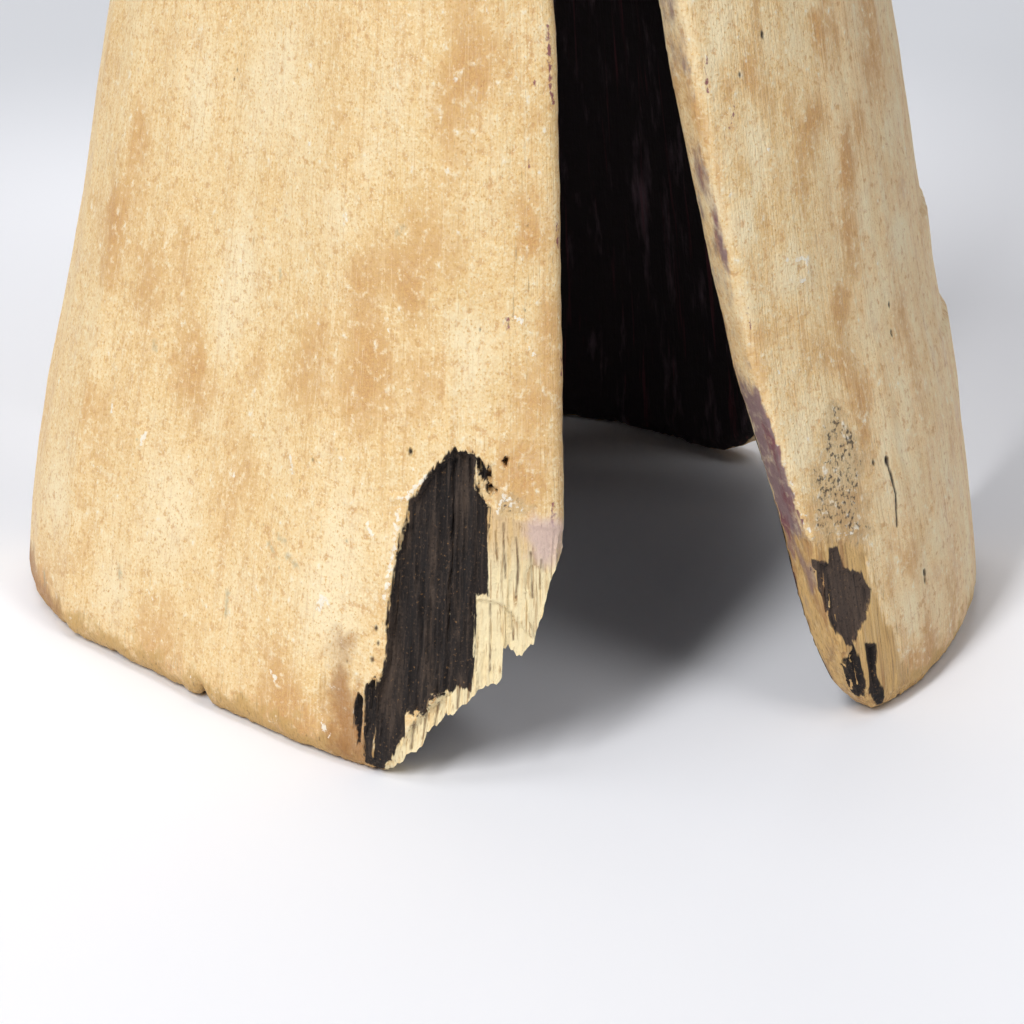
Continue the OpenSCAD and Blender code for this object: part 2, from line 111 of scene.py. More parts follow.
# Edge of the corner broken off the left leg, from the gap down to the floor
LEFT_BREAK = (
    (64, 76), (61.2, 69), (60, 62), (59.1, 57.6), (58.4, 53.9), (57.7, 47.8), (57.1, 43.5), (56.4, 38),
    (54.8, 35.3), (53.6, 37.9), (53.05, 37.3), (52.9, 29.5), (51.7, 27.4), (50.2, 25.8), (48.8, 22.3),
    (47.6, 19.2), (46.8, 19.6), (45.2, 15), (44.7, 14.2), (44.3, 10.2), (43.3, 8.1), (42.4, 6.9),
    (41.1, 2.9), (38.9, -1.2), (38, -6),
)
RIGHT_ROT = (
    (-29.2, 49.6), (-27.8, 48.9), (-27.2, 47.6), (-26.8, 51.5), (-25.4, 51), (-24.8, 44.9), (-22.2, 42),
    (-21.6, 38.6), (-20.7, 35.9), (-21.6, 30.5), (-23.4, 26.7), (-25, 22.8), (-26, 24), (-27.4, 30),
    (-28.4, 36), (-28.9, 42),
)
RIGHT_SLOTS = (
    ((-23.2, 23.1), (-21, 20.8), (-21.4, 12.5), (-19.8, 2), (-21, 2), (-23, 9.1), (-23.1, 17.1)),
    ((-26.2, 20), (-24.9, 23.5), (-24, 19), (-23.3, 12), (-23.1, 6), (-24.4, 7.5), (-25.6, 13)),
)
RIGHT_RAW = (
    (-34, 59), (-29.6, 56), (-26.5, 53.6), (-21.9, 50.3), (-20.8, 45.9), (-19.3, 32.3), (-18.4, 25.4),
    (-17, 20.4), (-16.5, 12.9), (-14.5, 7.3), (-11, -8), (-34, -8),
)
RIGHT_CRUST = (
    (-22.7, 89.8), (-19.2, 75.4), (-19.6, 63.1), (-19.7, 52), (-22.3, 50), (-26.5, 53.5), (-27.7, 56.4),
    (-28.2, 64.9), (-27.7, 72.2), (-25.8, 81.1),
)
LEFT_SMEAR = ((55.2, 70.4), (56.8, 72.6), (58.8, 72), (60.4, 68), (59.8, 60), (57.8, 57), (55.8, 61))
# Deep groove down the middle of the black core
LEFT_GROOVE = ((46.3, 86), (47.6, 86), (47.5, 60), (47, 38), (46.4, 38), (46.3, 60))
# Lines drawn along a leg's face, each with half its width in mm
LEFT_CHALK = (
    (0.35, ((38.5, 73.4), (41.3, 73.9), (41.8, 75.8), (43.3, 78.7), (44.4, 82))),
    (0.45, ((40.5, 70.7), (40.3, 65.8), (39.9, 57.8), (39.5, 52.2), (39.4, 48))),
    (0.4, ((52.3, 72.2), (52.8, 75.3), (53.2, 78.3), (54.3, 74.2), (55.1, 73.6))),
    (0.9, ((30.3, 40.5), (31, 43.4), (31.8, 42.1))), (0.8, ((31.9, 80.6), (32.7, 81.4))),
    (0.5, ((23.4, 77), (24.2, 72.5))), (0.5, ((12.4, 68), (12.8, 65.6))),
    (0.5, ((-4.6, 68.5), (-5.2, 65), (-6.2, 63.4))), (0.3, ((-11.9, 74), (-11.2, 70))),
    (0.4, ((-13.2, 54.4), (-12.2, 53.6))), (0.3, ((-1.6, 27), (-0.4, 24.4), (0.6, 22.6))),
    (0.5, ((11.4, 24), (12.2, 22.6))), (0.8, ((23.8, 18.6), (24.5, 17.2))), (0.4, ((9, 8), (9.6, 6))),
    (0.6, ((31.7, 13.5), (32.1, 9.9), (32.9, 6))), (0.5, ((36.4, 66), (37.3, 62.6))),
    (0.3, ((37.4, 119), (38.2, 115))), (0.2, ((30.4, 146), (31.2, 131))), (0.4, ((54.8, 123), (55.6, 121))),
    (0.5, ((56.2, 114.5), (57.2, 112.6))),
)
RIGHT_CHALK = (
    (0.1, ((-33.4, 93.1), (-32.5, 85.1), (-31.5, 75.8), (-30.7, 69.1), (-30, 63.1), (-29.2, 55.4))),
    (0.0, ((-26.4, 57), (-23.6, 53.4), (-21, 53))), (0.0, ((-21.6, 76), (-20.4, 73))),
    (0.5, ((-28.9, 129.3), (-24.4, 128), (-24.9, 122.3), (-28.3, 123.8))),
    (0.1, ((-32.7, 101.4), (-26.3, 98.8))), (0.1, ((-26.7, 105), (-26.5, 99))),
    (0.2, ((-32.5, 161), (-28.7, 158))),
)
# Splashes of crimson dye, and grey bruises
LEFT_INK = (
    (0.35, ((53.7, 122.4), (53.7, 119.8))), (0.3, ((56.7, 162.6), (56.7, 160.8))),
    (0.25, ((56.4, 153.8), (56.4, 151.5))), (0.3, ((57.5, 182.8), (57.3, 180.4))),
    (0.3, ((57.8, 187.6), (57.7, 186.8))), (0.5, ((59.4, 197), (59.6, 186), (59.9, 176))),
    (0.4, ((58.9, 75), (58.7, 66), (58.3, 61))), (0.3, ((60.2, 150), (60.2, 140))),
    (0.3, ((60.2, 112), (60.2, 106))), (0.1, ((50.1, 181), (49.9, 178.4))),
    (0.1, ((48.7, 177), (48.6, 174.6))), (0.1, ((54.1, 172), (54, 170))), (0.0, ((45.9, 184), (45.8, 182))),
    (0.0, ((52, 183), (52.2, 181))), (0.0, ((47.2, 187), (47, 185.4))),
)
RIGHT_INK = (
    (0.3, ((-34, 171), (-35.3, 164.8))), (0.5, ((-37.1, 136), (-36.6, 127.5))),
    (0.5, ((-34.8, 106), (-34.3, 97))), (0.3, ((-37.9, 186), (-38.2, 176))),
    (0.2, ((-34.8, 121), (-34.4, 113))),
)
LEFT_BRUISES = (
    (0.5, ((38.6, 141.3), (39.8, 143.6))), (0.5, ((18.1, 123), (18.2, 121.2))),
    (0.4, ((18.2, 140.2), (18.3, 138.6))), (0.4, ((11.6, 128), (12.2, 129.8))),
    (0.7, ((-5.2, 94.6), (-5, 92.4))), (0.8, ((-6.9, 28.4), (-6.4, 25.6))), (0.5, ((14.5, 35), (14.3, 28))),
    (0.8, ((-23.7, 13), (-23.2, 9))), (0.3, ((21, 52), (22.6, 49.4))), (0.3, ((24.6, 50.8), (26.6, 49))),
    (0.3, ((22.4, 55), (24, 54.2))),
)
# Cracks between the splinters of the torn corner and up the edge above it, then a deep one on the right leg
LEFT_CRACKS = (
    (0.35, ((43.4, 17), (43, 9))), (0.3, ((44.7, 20), (44.3, 12))), (0.3, ((46, 22.5), (45.6, 16))),
    (0.3, ((48.3, 27), (48.1, 21))), (0.25, ((49.4, 27.5), (49.3, 24))), (0.3, ((53.1, 70), (53.3, 55))),
    (0.3, ((54.6, 66), (54.8, 58), (54.5, 50))), (0.25, ((56.2, 62), (56.4, 50))),
    (0.2, ((57.4, 60), (57.3, 52))), (0.25, ((52.2, 68), (52.4, 60))), (0.2, ((51.6, 48), (51.6, 31))),
    (0.2, ((54, 46), (54.2, 39))), (0.1, ((56.2, 172), (55.4, 152), (54.7, 137), (54.3, 122))),
    (0.2, ((56.4, 153), (56.3, 139), (56.5, 126))),
)
RIGHT_CRACK = ((0.5, ((-14.4, 67), (-13.8, 57.6), (-14.5, 49))),)
# Borer holes: angle, height and radius in mm
PITS = {
    "left": (
        (4.3, 169.7, 0.4), (25.5, 71.4, 0.2), (41.7, 86.1, 0.7), (55.9, 124.6, 0.4), (53.7, 121.2, 0.2),
        (-6, 66.2, 0.2), (50.3, 119.1, 0.2), (5.5, 183.2, 0.2), (5.2, 179.2, 0.25), (6.3, 176.9, 0.2),
        (4.8, 172.4, 0.2), (33.7, 59.7, 0.3), (27.5, 78, 0.3), (38.4, 39.4, 0.5), (38.7, 35.5, 0.4),
        (38.1, 31, 0.5), (34.8, 28.6, 0.3), (19.6, 56, 0.1), (23.4, 47, 0.15),
    ),
    "right": (
        (-17.1, 68.5, 0.6), (-14.4, 67.2, 1.0), (-9.8, 31.6, 0.9), (-9.9, 29.6, 0.7), (-27.9, 187.4, 0.7),
        (-32.7, 178.7, 0.4), (-7.4, 105.7, 0.5), (-7.8, 98.1, 0.6),
    ),
    "rear": (
        (-12, 150, 0.7), (18, 92, 0.6), (30, 205, 0.6), (-34, 60, 0.8), (6, 30, 1.0),
    ),
}
# Broad patches: angle, height, half width in mm, then a tone, -1 for brown and 1 for bleached
BLOTCHES = {
    "left": (
        (24, 101, 11, -1), (-18, 123, 10, -1), (-8, 108, 9, -0.6), (3, 90, 9, -0.7), (41, 146, 9, -0.9),
        (34, 126, 9, -0.7), (48, 191, 10, -0.9), (44, 174, 8, -0.6), (58, 172, 6, -0.6), (57, 145, 7, -0.7),
        (59, 122, 5, -0.6), (56, 101, 6, -0.6), (41, 129, 6, -0.7), (35, 97, 10, -0.7), (15, 66, 9, -0.5),
        (-16, 71, 9, -0.4), (-27, 171, 9, -0.5), (1, 10, 11, -0.6), (27, 12, 9, -0.9), (-24, 8, 6, -1),
        (14, 146, 9, -0.3), (10, 122, 8, 1), (8, 102, 8, 1), (30, 142, 8, 1), (38, 119, 4.5, 0.8),
        (31, 42, 10, 1), (16, 172, 13, 1), (-4, 164, 12, 0.6), (32, 63, 9, 0.8), (2, 50, 13, 0.8),
        (50, 112, 9, 0.7), (-18, 31, 9, 0.6), (21, 80, 7, 0.5), (52, 155, 8, 0.6), (-17, 91, 8, 0.4),
        (38, 185, 9, 0.5), (-8, 21, 9, 0.7), (16, 32, 7, 0.4), (55, 83, 6, -1.1), (56.4, 142, 3, -0.9),
        (28, 8, 4, -1), (30, 82, 6, 0.7), (55, 152, 6, -0.6), (40, 125, 9, -0.5), (46, 177, 8, -0.1),
        (-15, 147, 6, -0.8), (-26, 122, 6, -0.6), (-22, 40, 8, 0.6), (33, 12, 6, -0.8), (50, 184, 7, -0.5),
        (46, 138, 6, -0.6), (50, 129, 6, -0.5), (36, 112, 7, -0.5), (44, 104, 6, -0.5), (34, 160, 6, 0.6),
    ),
    "right": (
        (-19.3, 163.5, 4, -1.3), (-9.4, 161, 5, -1), (-31.8, 178.4, 4.5, -1.2), (-22, 157, 6, -1),
        (-12.7, 147, 6, -0.9), (-31.5, 142, 3, -1.2), (-21.3, 99, 5, -1), (-19, 111, 6, -1.1),
        (-23, 145, 5, -0.8), (-0.6, 169, 8, -0.9), (-28, 113, 4, -0.6), (-14, 183, 9, -0.9),
        (-15, 125, 6.5, -0.8), (-18, 89, 6, -0.7), (-4, 99, 5, -0.6), (2, 66, 6, -0.4), (0, 14, 7, -0.6),
        (-4, 8, 7, -0.9), (-22, 61, 3.5, -1.2), (-12.5, 66, 3, -0.7), (-12.8, 38, 6, -0.4),
        (-31, 161.5, 4, 1.2), (-26.4, 126, 5, 1.2), (-34.8, 140.8, 5, 0.9), (-35.4, 190, 6, 1),
        (-11.4, 107, 4.5, 1), (-31.6, 100, 4, 0.9), (-19.4, 186, 4, 0.4), (0, 123, 5, 0.6),
        (-37.6, 179, 4, 0.8), (-30, 82, 5, 0.6), (-12, 82, 6, 0.5), (-17, 60, 6, 0.6), (0, 50, 7, 0.6),
        (-6, 40, 5, 0.5), (-11, 68, 5, 0.9), (-15, 28, 6, 0.8), (-1, 117, 5, 0.5), (-10, 5, 8, -1.2),
        (-15, 11, 4, -0.9),
    ),
    "rear": (
        (-20, 60, 14, -0.8), (15, 140, 15, 0.8), (30, 50, 12, 0.7), (-5, 190, 14, -0.7),
    ),
}
# Outlines of each kind of mark on each leg, then its lines
MARKS = {
    "left": {"rot": (LEFT_ROT, *LEFT_SCABS), "raw": (LEFT_RAW,), "crust": (LEFT_CRUST,), "stain": LEFT_STAINS,
             "smear": (LEFT_SMEAR,), "block": LEFT_BLOCKS, "slot": (LEFT_GROOVE,)},
    "right": {"rot": (RIGHT_ROT,), "slot": RIGHT_SLOTS, "raw": (RIGHT_RAW,), "crust": (RIGHT_CRUST,)},
    "rear": {},
}
LINES = {
    "left": {"chalk": LEFT_CHALK, "crack": LEFT_CRACKS, "ink": LEFT_INK, "bruise": LEFT_BRUISES},
    "right": {"chalk": RIGHT_CHALK, "ink": RIGHT_INK, "pit": RIGHT_CRACK},
    "rear": {},
}
KINDS = ("rot", "slot", "raw", "block", "crust", "stain", "smear", "chalk", "ink", "bruise", "crack", "pit")
# Kinds that lie on the outer skin only
SKIN_KINDS = ("rot", "crust", "stain", "smear", "chalk", "ink", "bruise", "crack", "pit")
# Distance given to a mark that a leg doesn't have, in mm outside it
FAR_OUTSIDE = -60.0


def linear(code):
    """Linear colour of an sRGB hex code, with full alpha."""
    parts = [int(code[i:i + 2], 16) / 255 for i in (1, 3, 5)]
    return [c / 12.92 if c <= 0.04045 else ((c + 0.055) / 1.055) ** 2.4 for c in parts] + [1.0]


def colour(name, description, code):
    """Colour property with its default given as an sRGB hex code."""
    return bpy.props.FloatVectorProperty(
        name=name, description=description, subtype="COLOR", size=4, min=0.0, max=1.0, default=linear(code))


def length(name, description, size_mm):
    """Length property with its default given in mm."""
    return bpy.props.FloatProperty(
        name=name, description=description, unit="LENGTH", min=0.0, default=size_mm * MM)


def lamp_power(name, description, watts):
    """Power property of a lamp."""
    return bpy.props.FloatProperty(name=name, description=description, unit="POWER", default=watts)


class TripodWood(bpy.types.PropertyGroup):
    """Colours of the leg wood and of the oiled head"""
    tan: colour("Tan", "Ground colour of the bare leg wood", "#f6d59c")
    gold: colour("Gold", "Yellower clouds in the ground colour", "#e9c17c")
    peach: colour("Peach", "Warmer wood towards the gap", "#f4c793")
    trodden: colour("Trodden", "Yellow wood laid bare round the lower rim", "#cda562")
    bruise: colour("Bruise", "Grey bruises", "#a1977c")
    crack: colour("Crack", "Cracks between splinters", "#5f3f20")
    ink: colour("Ink", "Splashes of fresh crimson dye", "#7c2a4a")
    bleached: colour("Bleached", "Pale patches where the surface has weathered", "#ffecc2")
    brown: colour("Brown", "Darker patches that hands and damp have left", "#d29c60")
    stain: colour("Stain", "Rusty stain beside the rot", "#a06a38")
    # Paler tone of the right leg: partly its own wood, partly painted light on its far side
    right_tone_and_lit: colour("Dry", "Paler, drier wood of the right leg", "#fbdaa9")
    chalk: colour("Chalk", "Flecks of old filler and lifted fibre", "#fff6e4")
    pore: colour("Pore", "Open pores and fine cracks along the grain", "#84592f")
    torn: colour("Torn", "Wood torn fresh at the broken corner", "#f9e7ba")
    torn_line: colour("Torn line", "Lines between fibres of torn wood", "#a8793f")
    torn_old: colour("Torn old", "Older break in the right foot", "#d6ab68")
    rot: colour("Rot", "Black core where the skin has come off", "#1f1815")
    # Paler fibres on the black core: partly their own colour, partly painted highlight on the ridges; the darkest
    # grooves below are partly painted shade
    rot_fibre_and_highlight: colour("Rot fibre", "Paler fibres that stand on the black core", "#625144")
    rot_groove_and_shade: colour("Rot deep", "Grooves between those fibres", "#0f0a09")
    # On the right leg beside the gap this mauve is real dye; on the other rounded edges it is painted shade
    mauve: colour("Mauve", "Faded dye on the cut edges", "#8c7172")
    lilac: colour("Lilac", "Dye rubbed thin beside the break", "#dcc0b8")
    worn: colour("Worn", "Grey-brown rot in the right foot", "#4c3e35")
    crust: colour("Crust", "Scaly skin above the breaks", "#c6aa80")
    # Crimson patches: real dye on the right leg's gap edge and in the hollow, painted shade on the other rounded
    # edges
    dye_and_shade: colour("Dye", "Old crimson dye left along the edges", "#80404a")
    # Inside of the hollow: its own dark crimson dye, darkened further with painted shade of the closed hollow; the
    # lilac bloom below lies on that dyed wall
    hollow_dye_and_shade: colour("Smoke", "Smoked and dyed inside of the hollow", "#1c1012")
    bloom: colour("Bloom", "Lilac bloom on the smoked wall", "#7d676f")
    oiled: colour("Oiled", "Turned and oiled wood of the head", "#7d4f2b")
    oiled_dark: colour("Oiled dark", "Late wood and pores of the head", "#4a2a14")


class TripodCarving(bpy.types.PropertyGroup):
    """Sizes of the carved and broken surfaces"""
    cell: length("Cell", "Spacing of the mesh that is carved", 1.9)
    wave: length("Wave", "Height of the broad waves the adze left", 0.7)
    facet: length("Facet", "Height of the upright tool marks", 0.25)
    rot_depth: length("Rot depth", "Depth of the black core below the skin", 2.2)
    raw_depth: length("Torn depth", "Depth of the torn wood below the skin", 2.9)
    slot_depth: length("Slot depth", "Depth of the slots in the worn foot and of the core's groove", 2.0)
    pit_depth: length("Pit depth", "Depth of borer holes", 1.6)
    tooth: length("Tooth", "Height of the splinters along the break", 1.1)


class TripodMetal(bpy.types.PropertyGroup):
    """Colours and edges of the brass, steel and leather"""
    brass: colour("Brass", "Rubbed brass", "#b8914f")
    tarnish: colour("Tarnish", "Brown tarnish in the low places", "#5d4426")
    steel: colour("Steel", "Dull steel", "#8f8d88")
    rust: colour("Rust", "Rust bloom on the steel", "#5b4334")
    leather: colour("Leather", "Matt leather", "#5a3419")
    crease: colour("Crease", "Grain valleys of the leather", "#2f190b")
    edge: length("Edge", "Rounding of the handled metal edges", 0.5)
    pitch: length("Pitch", "Pitch of the camera thread, sixteen to the inch", 1.5875)


class TripodStage(bpy.types.PropertyGroup):
    """Floor, light and camera"""
    paper: colour("Paper", "Floor near the object", "#f3f4f9")
    # Painted shade: the floor greys away from the object in place of light falling off
    paper_far_shade: colour("Paper far", "Floor well behind the object", "#d9dbe0")
    key: lamp_power("Key", "Power of the key strip", 112.5)
    fill: lamp_power("Fill", "Power of the second strip", 29.5)
    top: lamp_power("Top", "Power of the panel overhead", 28.0)
    back: lamp_power("Back", "Power of the panel behind", 31.0)
    ambient: bpy.props.FloatProperty(
        name="Ambient", description="Level of light from all round", subtype="FACTOR", min=0.0, max=1.0,
        default=0.11)
    lens: bpy.props.FloatProperty(
        name="Lens", description="Focal length on a 36 mm sensor", unit="CAMERA", default=126.5625)


def hinge_azimuth(side):
    """Direction of a leg's hinge round the axis, in degrees."""
    joint = next(j for j in frame["joints"] if j["name"] == f"{side}_leg_fold")
    return math.degrees(math.atan2(joint["pos_m"][1], joint["pos_m"][0]))


def ease(share):
    """Smooth step from 0 to 1 of an array of shares."""
    share = np.clip(share, 0.0, 1.0)
    return share * share * (3 - 2 * share)


def points_of(mesh):
    """Vertices of a mesh in mm, one row each."""
    co = np.empty(len(mesh.vertices) * 3, np.float32)
    mesh.vertices.foreach_get("co", co)
    return co.reshape(-1, 3).astype(float) / MM


def set_points(mesh, points):
    """Put the vertices of a mesh at points in mm."""
    mesh.vertices.foreach_set("co", (points * MM).astype(np.float32).ravel())
    mesh.update()


def on_leg(points, side):
    """Degrees round from a leg's hinge, and radius in mm, of points in mm."""
    angle = np.degrees(np.arctan2(points[:, 1], points[:, 0])) - hinge_azimuth(side)
    return (angle + 180) % 360 - 180, np.hypot(points[:, 0], points[:, 1])


def facing_out(mesh, points):
    """How far each vertex of a leg looks away from the axis, from -1 to 1, and its normals."""
    normals = np.empty(len(mesh.vertices) * 3, np.float32)
    mesh.vertex_normals.foreach_get("vector", normals)
    normals = normals.reshape(-1, 3).astype(float)
    radius = np.hypot(points[:, 0], points[:, 1])[:, None]
    return (normals[:, :2] * points[:, :2] / radius).sum(1), normals


def inside(outline, angle, height, closed=True):
    """Distance in mm of points inside an outline on a leg's face, negative outside it or off a line."""
    spots = np.column_stack((angle * ARC, height))
    corners = np.array(outline) * (ARC, 1)
    nearest = np.full(len(spots), np.inf)
    within = np.zeros(len(spots), bool)
    ends = np.roll(corners, -1, 0) if closed else corners[1:]
    for start, end in zip(corners, ends):
        side = end - start
        share = np.clip((spots - start) @ side / (side @ side), 0, 1)
        nearest = np.minimum(nearest, np.hypot(*(spots - start - share[:, None] * side).T))
        if closed and start[1] != end[1]:
            level = (start[1] > spots[:, 1]) != (end[1] > spots[:, 1])
            within ^= level & (spots[:, 0] < start[0] + (spots[:, 1] - start[1]) * side[0] / side[1])
    return np.where(within, nearest, -nearest)


def grain_points(points, side):
    """Points of a leg laid flat in mm: along the face, through the wall, and up the grain."""
    angle, radius = on_leg(points, side)
    wall = FOOT_RADIUS - LEAN * points[:, 2]
    return np.column_stack(((angle + hinge_azimuth(side)) * ARC, radius - wall, points[:, 2]))


def rough(flat, width, run, octaves=3):
    """Fractal noise over flat leg points, of a width across the grain and a run along it in mm."""
    spots = flat / (width, width, run)
    return np.array([noise.fractal(spot, 1.0, 2.0, octaves) for spot in spots.tolist()])


def mark_fields(points, side):
    """Distance in mm inside each kind of mark on a leg, negative outside it."""
    angle, _ = on_leg(points, side)
    height = points[:, 2]
    fields = {}
    for kind in KINDS:
        fields[kind] = np.full(len(points), FAR_OUTSIDE)
        for outline in MARKS[side].get(kind, ()):
            fields[kind] = np.maximum(fields[kind], inside(outline, angle, height))
        for half, line in LINES[side].get(kind, ()):
            fields[kind] = np.maximum(fields[kind], half + inside(line, angle, height, closed=False))
    for at, up, size in PITS[side]:
        # Borer holes are drawn out along the grain
        reach = np.hypot((angle - at) * ARC, (height - up) / 1.5)
        fields["pit"] = np.maximum(fields["pit"], size - reach)
    return fields


def frayed_fields(points, flat, side):
    """Mark fields of a leg, with the borders of its rot and torn wood frayed along the grain."""
    fields = mark_fields(points, side)
    fields["rot"] += ROT_FRAY[side] * rough(flat, 1.3, 12)
    fields["raw"] += RAW_FRAY * rough(flat, 1.1, 9)
    return fields


def merged_copy(node, name):
    """New object with a copy of a CAD node's mesh, its loose triangles merged."""
    obj = bpy.data.objects.new(name, frame["nodes"][node].data.copy())
    bpy.context.scene.collection.objects.link(obj)
    bm = bmesh.new()
    bm.from_mesh(obj.data)
    bmesh.ops.remove_doubles(bm, verts=bm.verts, dist=0.004 * MM)
    bm.to_mesh(obj.data)
    bm.free()
    obj.data.materials.clear()
    return obj


def settle(obj):
    """Make what an object's modifiers give its own mesh."""
    graph = bpy.context.evaluated_depsgraph_get()
    mesh = bpy.data.meshes.new_from_object(obj.evaluated_get(graph))
    obj.modifiers.clear()
    obj.data = mesh


def finish_piece(obj, material, body, nodes, crisp=35):
    """Give a piece its material and shading, put it on its body and hide the nodes it stands for."""
    obj.data.materials.clear()
    obj.data.materials.append(material)
    obj.data.shade_smooth()
    obj.data.set_sharp_from_angle(angle=math.radians(crisp))
    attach(obj, body)
    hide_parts(*nodes)


def restore_corner(obj):
    """Pull the left leg's lost corner back down to the floor, so that it can be broken off raggedly."""
    break_height, break_share, break_curve, lift_height = 58, 0.19, 1.35, 100
    points = points_of(obj.data)
    angle, radius = on_leg(points, "left")
    height = points[:, 2]
    first, last = LEFT_EDGES
    share = (angle - first) / (last - first)
    lost = break_height * np.maximum(0, 1 - (1 - np.minimum(share, 1)) / break_share) ** break_curve
    lower = np.where(height < lift_height, (height - lost) * lift_height / (lift_height - lost), height)
    lower = np.maximum(lower, 0)
    wider = (radius + LEAN * (height - lower)) / radius
    set_points(obj.data, np.column_stack((points[:, :2] * wider[:, None], lower)))


def fine_grid(obj, cell):
    """Remesh a leg into an even grid fine enough to carve, drawn back onto its own shape."""
    shape = bpy.data.objects.new("leg_shape", obj.data.copy())
    bpy.context.scene.collection.objects.link(shape)
    grid = obj.modifiers.new("grid", "REMESH")
    grid.mode = "VOXEL"
    grid.voxel_size = cell
    soft = obj.modifiers.new("soft", "SMOOTH")
    soft.factor = 0.5
    soft.iterations = 5
    wrap = obj.modifiers.new("wrap", "SHRINKWRAP")
    wrap.target = shape
    settle(obj)
    bpy.data.objects.remove(shape)


def spread_foot(obj, side):
    """Move a front foot's side beside the gap out by a few mm, beyond the cone of the other faces."""
    reach, top, right_way = 5, 75, (-0.25, -1.05)
    points = points_of(obj.data)
    angle, radius = on_leg(points, side)
    spread = reach * (1 - ease(points[:, 2] / top))[:, None]
    if side == "left":
        points[:, :2] += spread * ease((angle + 8) / 24)[:, None] * points[:, :2] / radius[:, None]
    else:
        points[:, :2] += spread * ease((6 - angle) / 20)[:, None] * right_way
    set_points(obj.data, points)


def refine(obj, side, margin):
    """Halve the cells of a leg's outer face within a margin in mm of its marks."""
    points = points_of(obj.data)
    fields = mark_fields(points, side)
    near = np.maximum.reduce([fields[k] for k in ("rot", "slot", "raw", "pit")]) > -margin
    outward, _ = facing_out(obj.data, points)
    near &= outward > -0.2
    bm = bmesh.new()
    bm.from_mesh(obj.data)
    bm.verts.ensure_lookup_table()
    edges = [e for e in bm.edges if near[e.verts[0].index] and near[e.verts[1].index]]
    bmesh.ops.subdivide_edges(bm, edges=edges, cuts=1, use_grid_fill=True)
    bm.to_mesh(obj.data)
    bm.free()


def carve(obj, side, sizes):
    """Move a leg's surface in and out by its tool marks, rot, torn wood, slots and holes."""
    mesh = obj.data
    points = points_of(mesh)
    flat = grain_points(points, side)
    angle, _ = on_leg(points, side)
    height = points[:, 2]
    outward, normals = facing_out(mesh, points)
    skin = ease((outward + 0.1) / 0.4)
    fields = frayed_fields(points, flat, side)
    # Each mark falls to its full depth over a mm or two inside its border
    rot = ease(fields["rot"] / 1.3)
    raw = ease(fields["raw"] / 1.5)
    slot = ease((fields["slot"] + 0.5 * rough(flat, 1.2, 8)) / 1.6)
    pit = ease(np.maximum(fields["pit"], fields["crack"]) / 1.1)
    mm = 1 / MM
    # The wall waves a little everywhere, and the tenon that fills its socket stays true
    shoulder, fade = 305, 22
    free = 1 - ease((height - shoulder) / fade)
    waves = sizes.wave * mm * rough(flat, 44, 60, 3) + sizes.facet * mm * rough(flat, 7, 70, 2)
    depth = free * waves
    # The right foot and the toes are worn nearly flush, and the left corner's tear runs out upwards
    toe_height, tear_top = 26, 74
    firm = 0.15 + 0.85 * ease(height / toe_height)
    rot, raw, slot = rot * firm, raw * firm, slot * firm
    if side == "right":
        rot *= 0.35
        raw *= 0.2
    else:
        raw *= ease((tear_top - height) / 22)
    # Fibres stand in ridges on the black core, and the torn wood breaks in steps
    ridges = 1.9 * np.abs(rough(flat, 2.6, 70, 2)) + 0.5 * rough(flat, 0.9, 24, 2)
    depth -= skin * rot * (sizes.rot_depth * mm + ridges)
    steps = np.round(1.8 * rough(flat, 4.5, 46, 1)) * 0.4 + 0.9 * ease((fields["block"] + 0.2) / 0.5)
    steps += 0.35 * rough(flat, 1.4, 40, 2)
    depth -= skin * raw * (1 - rot) * (sizes.raw_depth * mm + steps + 0.3 * rough(flat, 0.9, 18, 2))
    depth -= skin * slot * sizes.slot_depth * mm
    depth -= skin * pit * sizes.pit_depth * mm
    depth += skin * ease((fields["chalk"] + 1.2) / 1.2) * (0.35 + 0.5 * rough(flat, 1.3, 1.8, 2))
    # The trodden lower rim is worn into short upright furrows
    rim_height, furrow = 16, 0.9
    rim = skin * (1 - ease(height / rim_height)) * (1 - rot)
    depth -= rim * furrow * np.abs(rough(flat, 3.2, 22, 2))
    if side == "right":
        # Two thin flakes lift along the far edge, most at their upper ends
        flake = 1.3
        turn = ease((angle - 8) / 9)
        for top, foot in ((118, 86), (84, 48)):
            lift = ease((top - height) / 1.2) * np.clip((height - foot) / (top - foot), 0, 1)
            depth += skin * turn * flake * lift
    points += normals * depth[:, None]
    # The lower rim is chipped, most at a notch in the left leg, and keeps its toes
    chip = np.maximum(0, 2.6 * rough(flat * (1, 1, 0), 7, 1, 3) - 0.3)
    if side == "left":
        chip *= 1 - 0.85 * ease((angle - 14) / 6)
        notch_height, notch_at, notch_width = 4.5, 10.6, 1.1
        chip += notch_height * np.exp(-((angle - notch_at) / notch_width) ** 2)
    if side == "right":
        chip *= ease((angle + 8) / 8)
    points[:, 2] += chip * (1 - ease(points[:, 2] / 14))
    points[:, 2] = np.maximum(points[:, 2], 0)
    set_points(mesh, points)


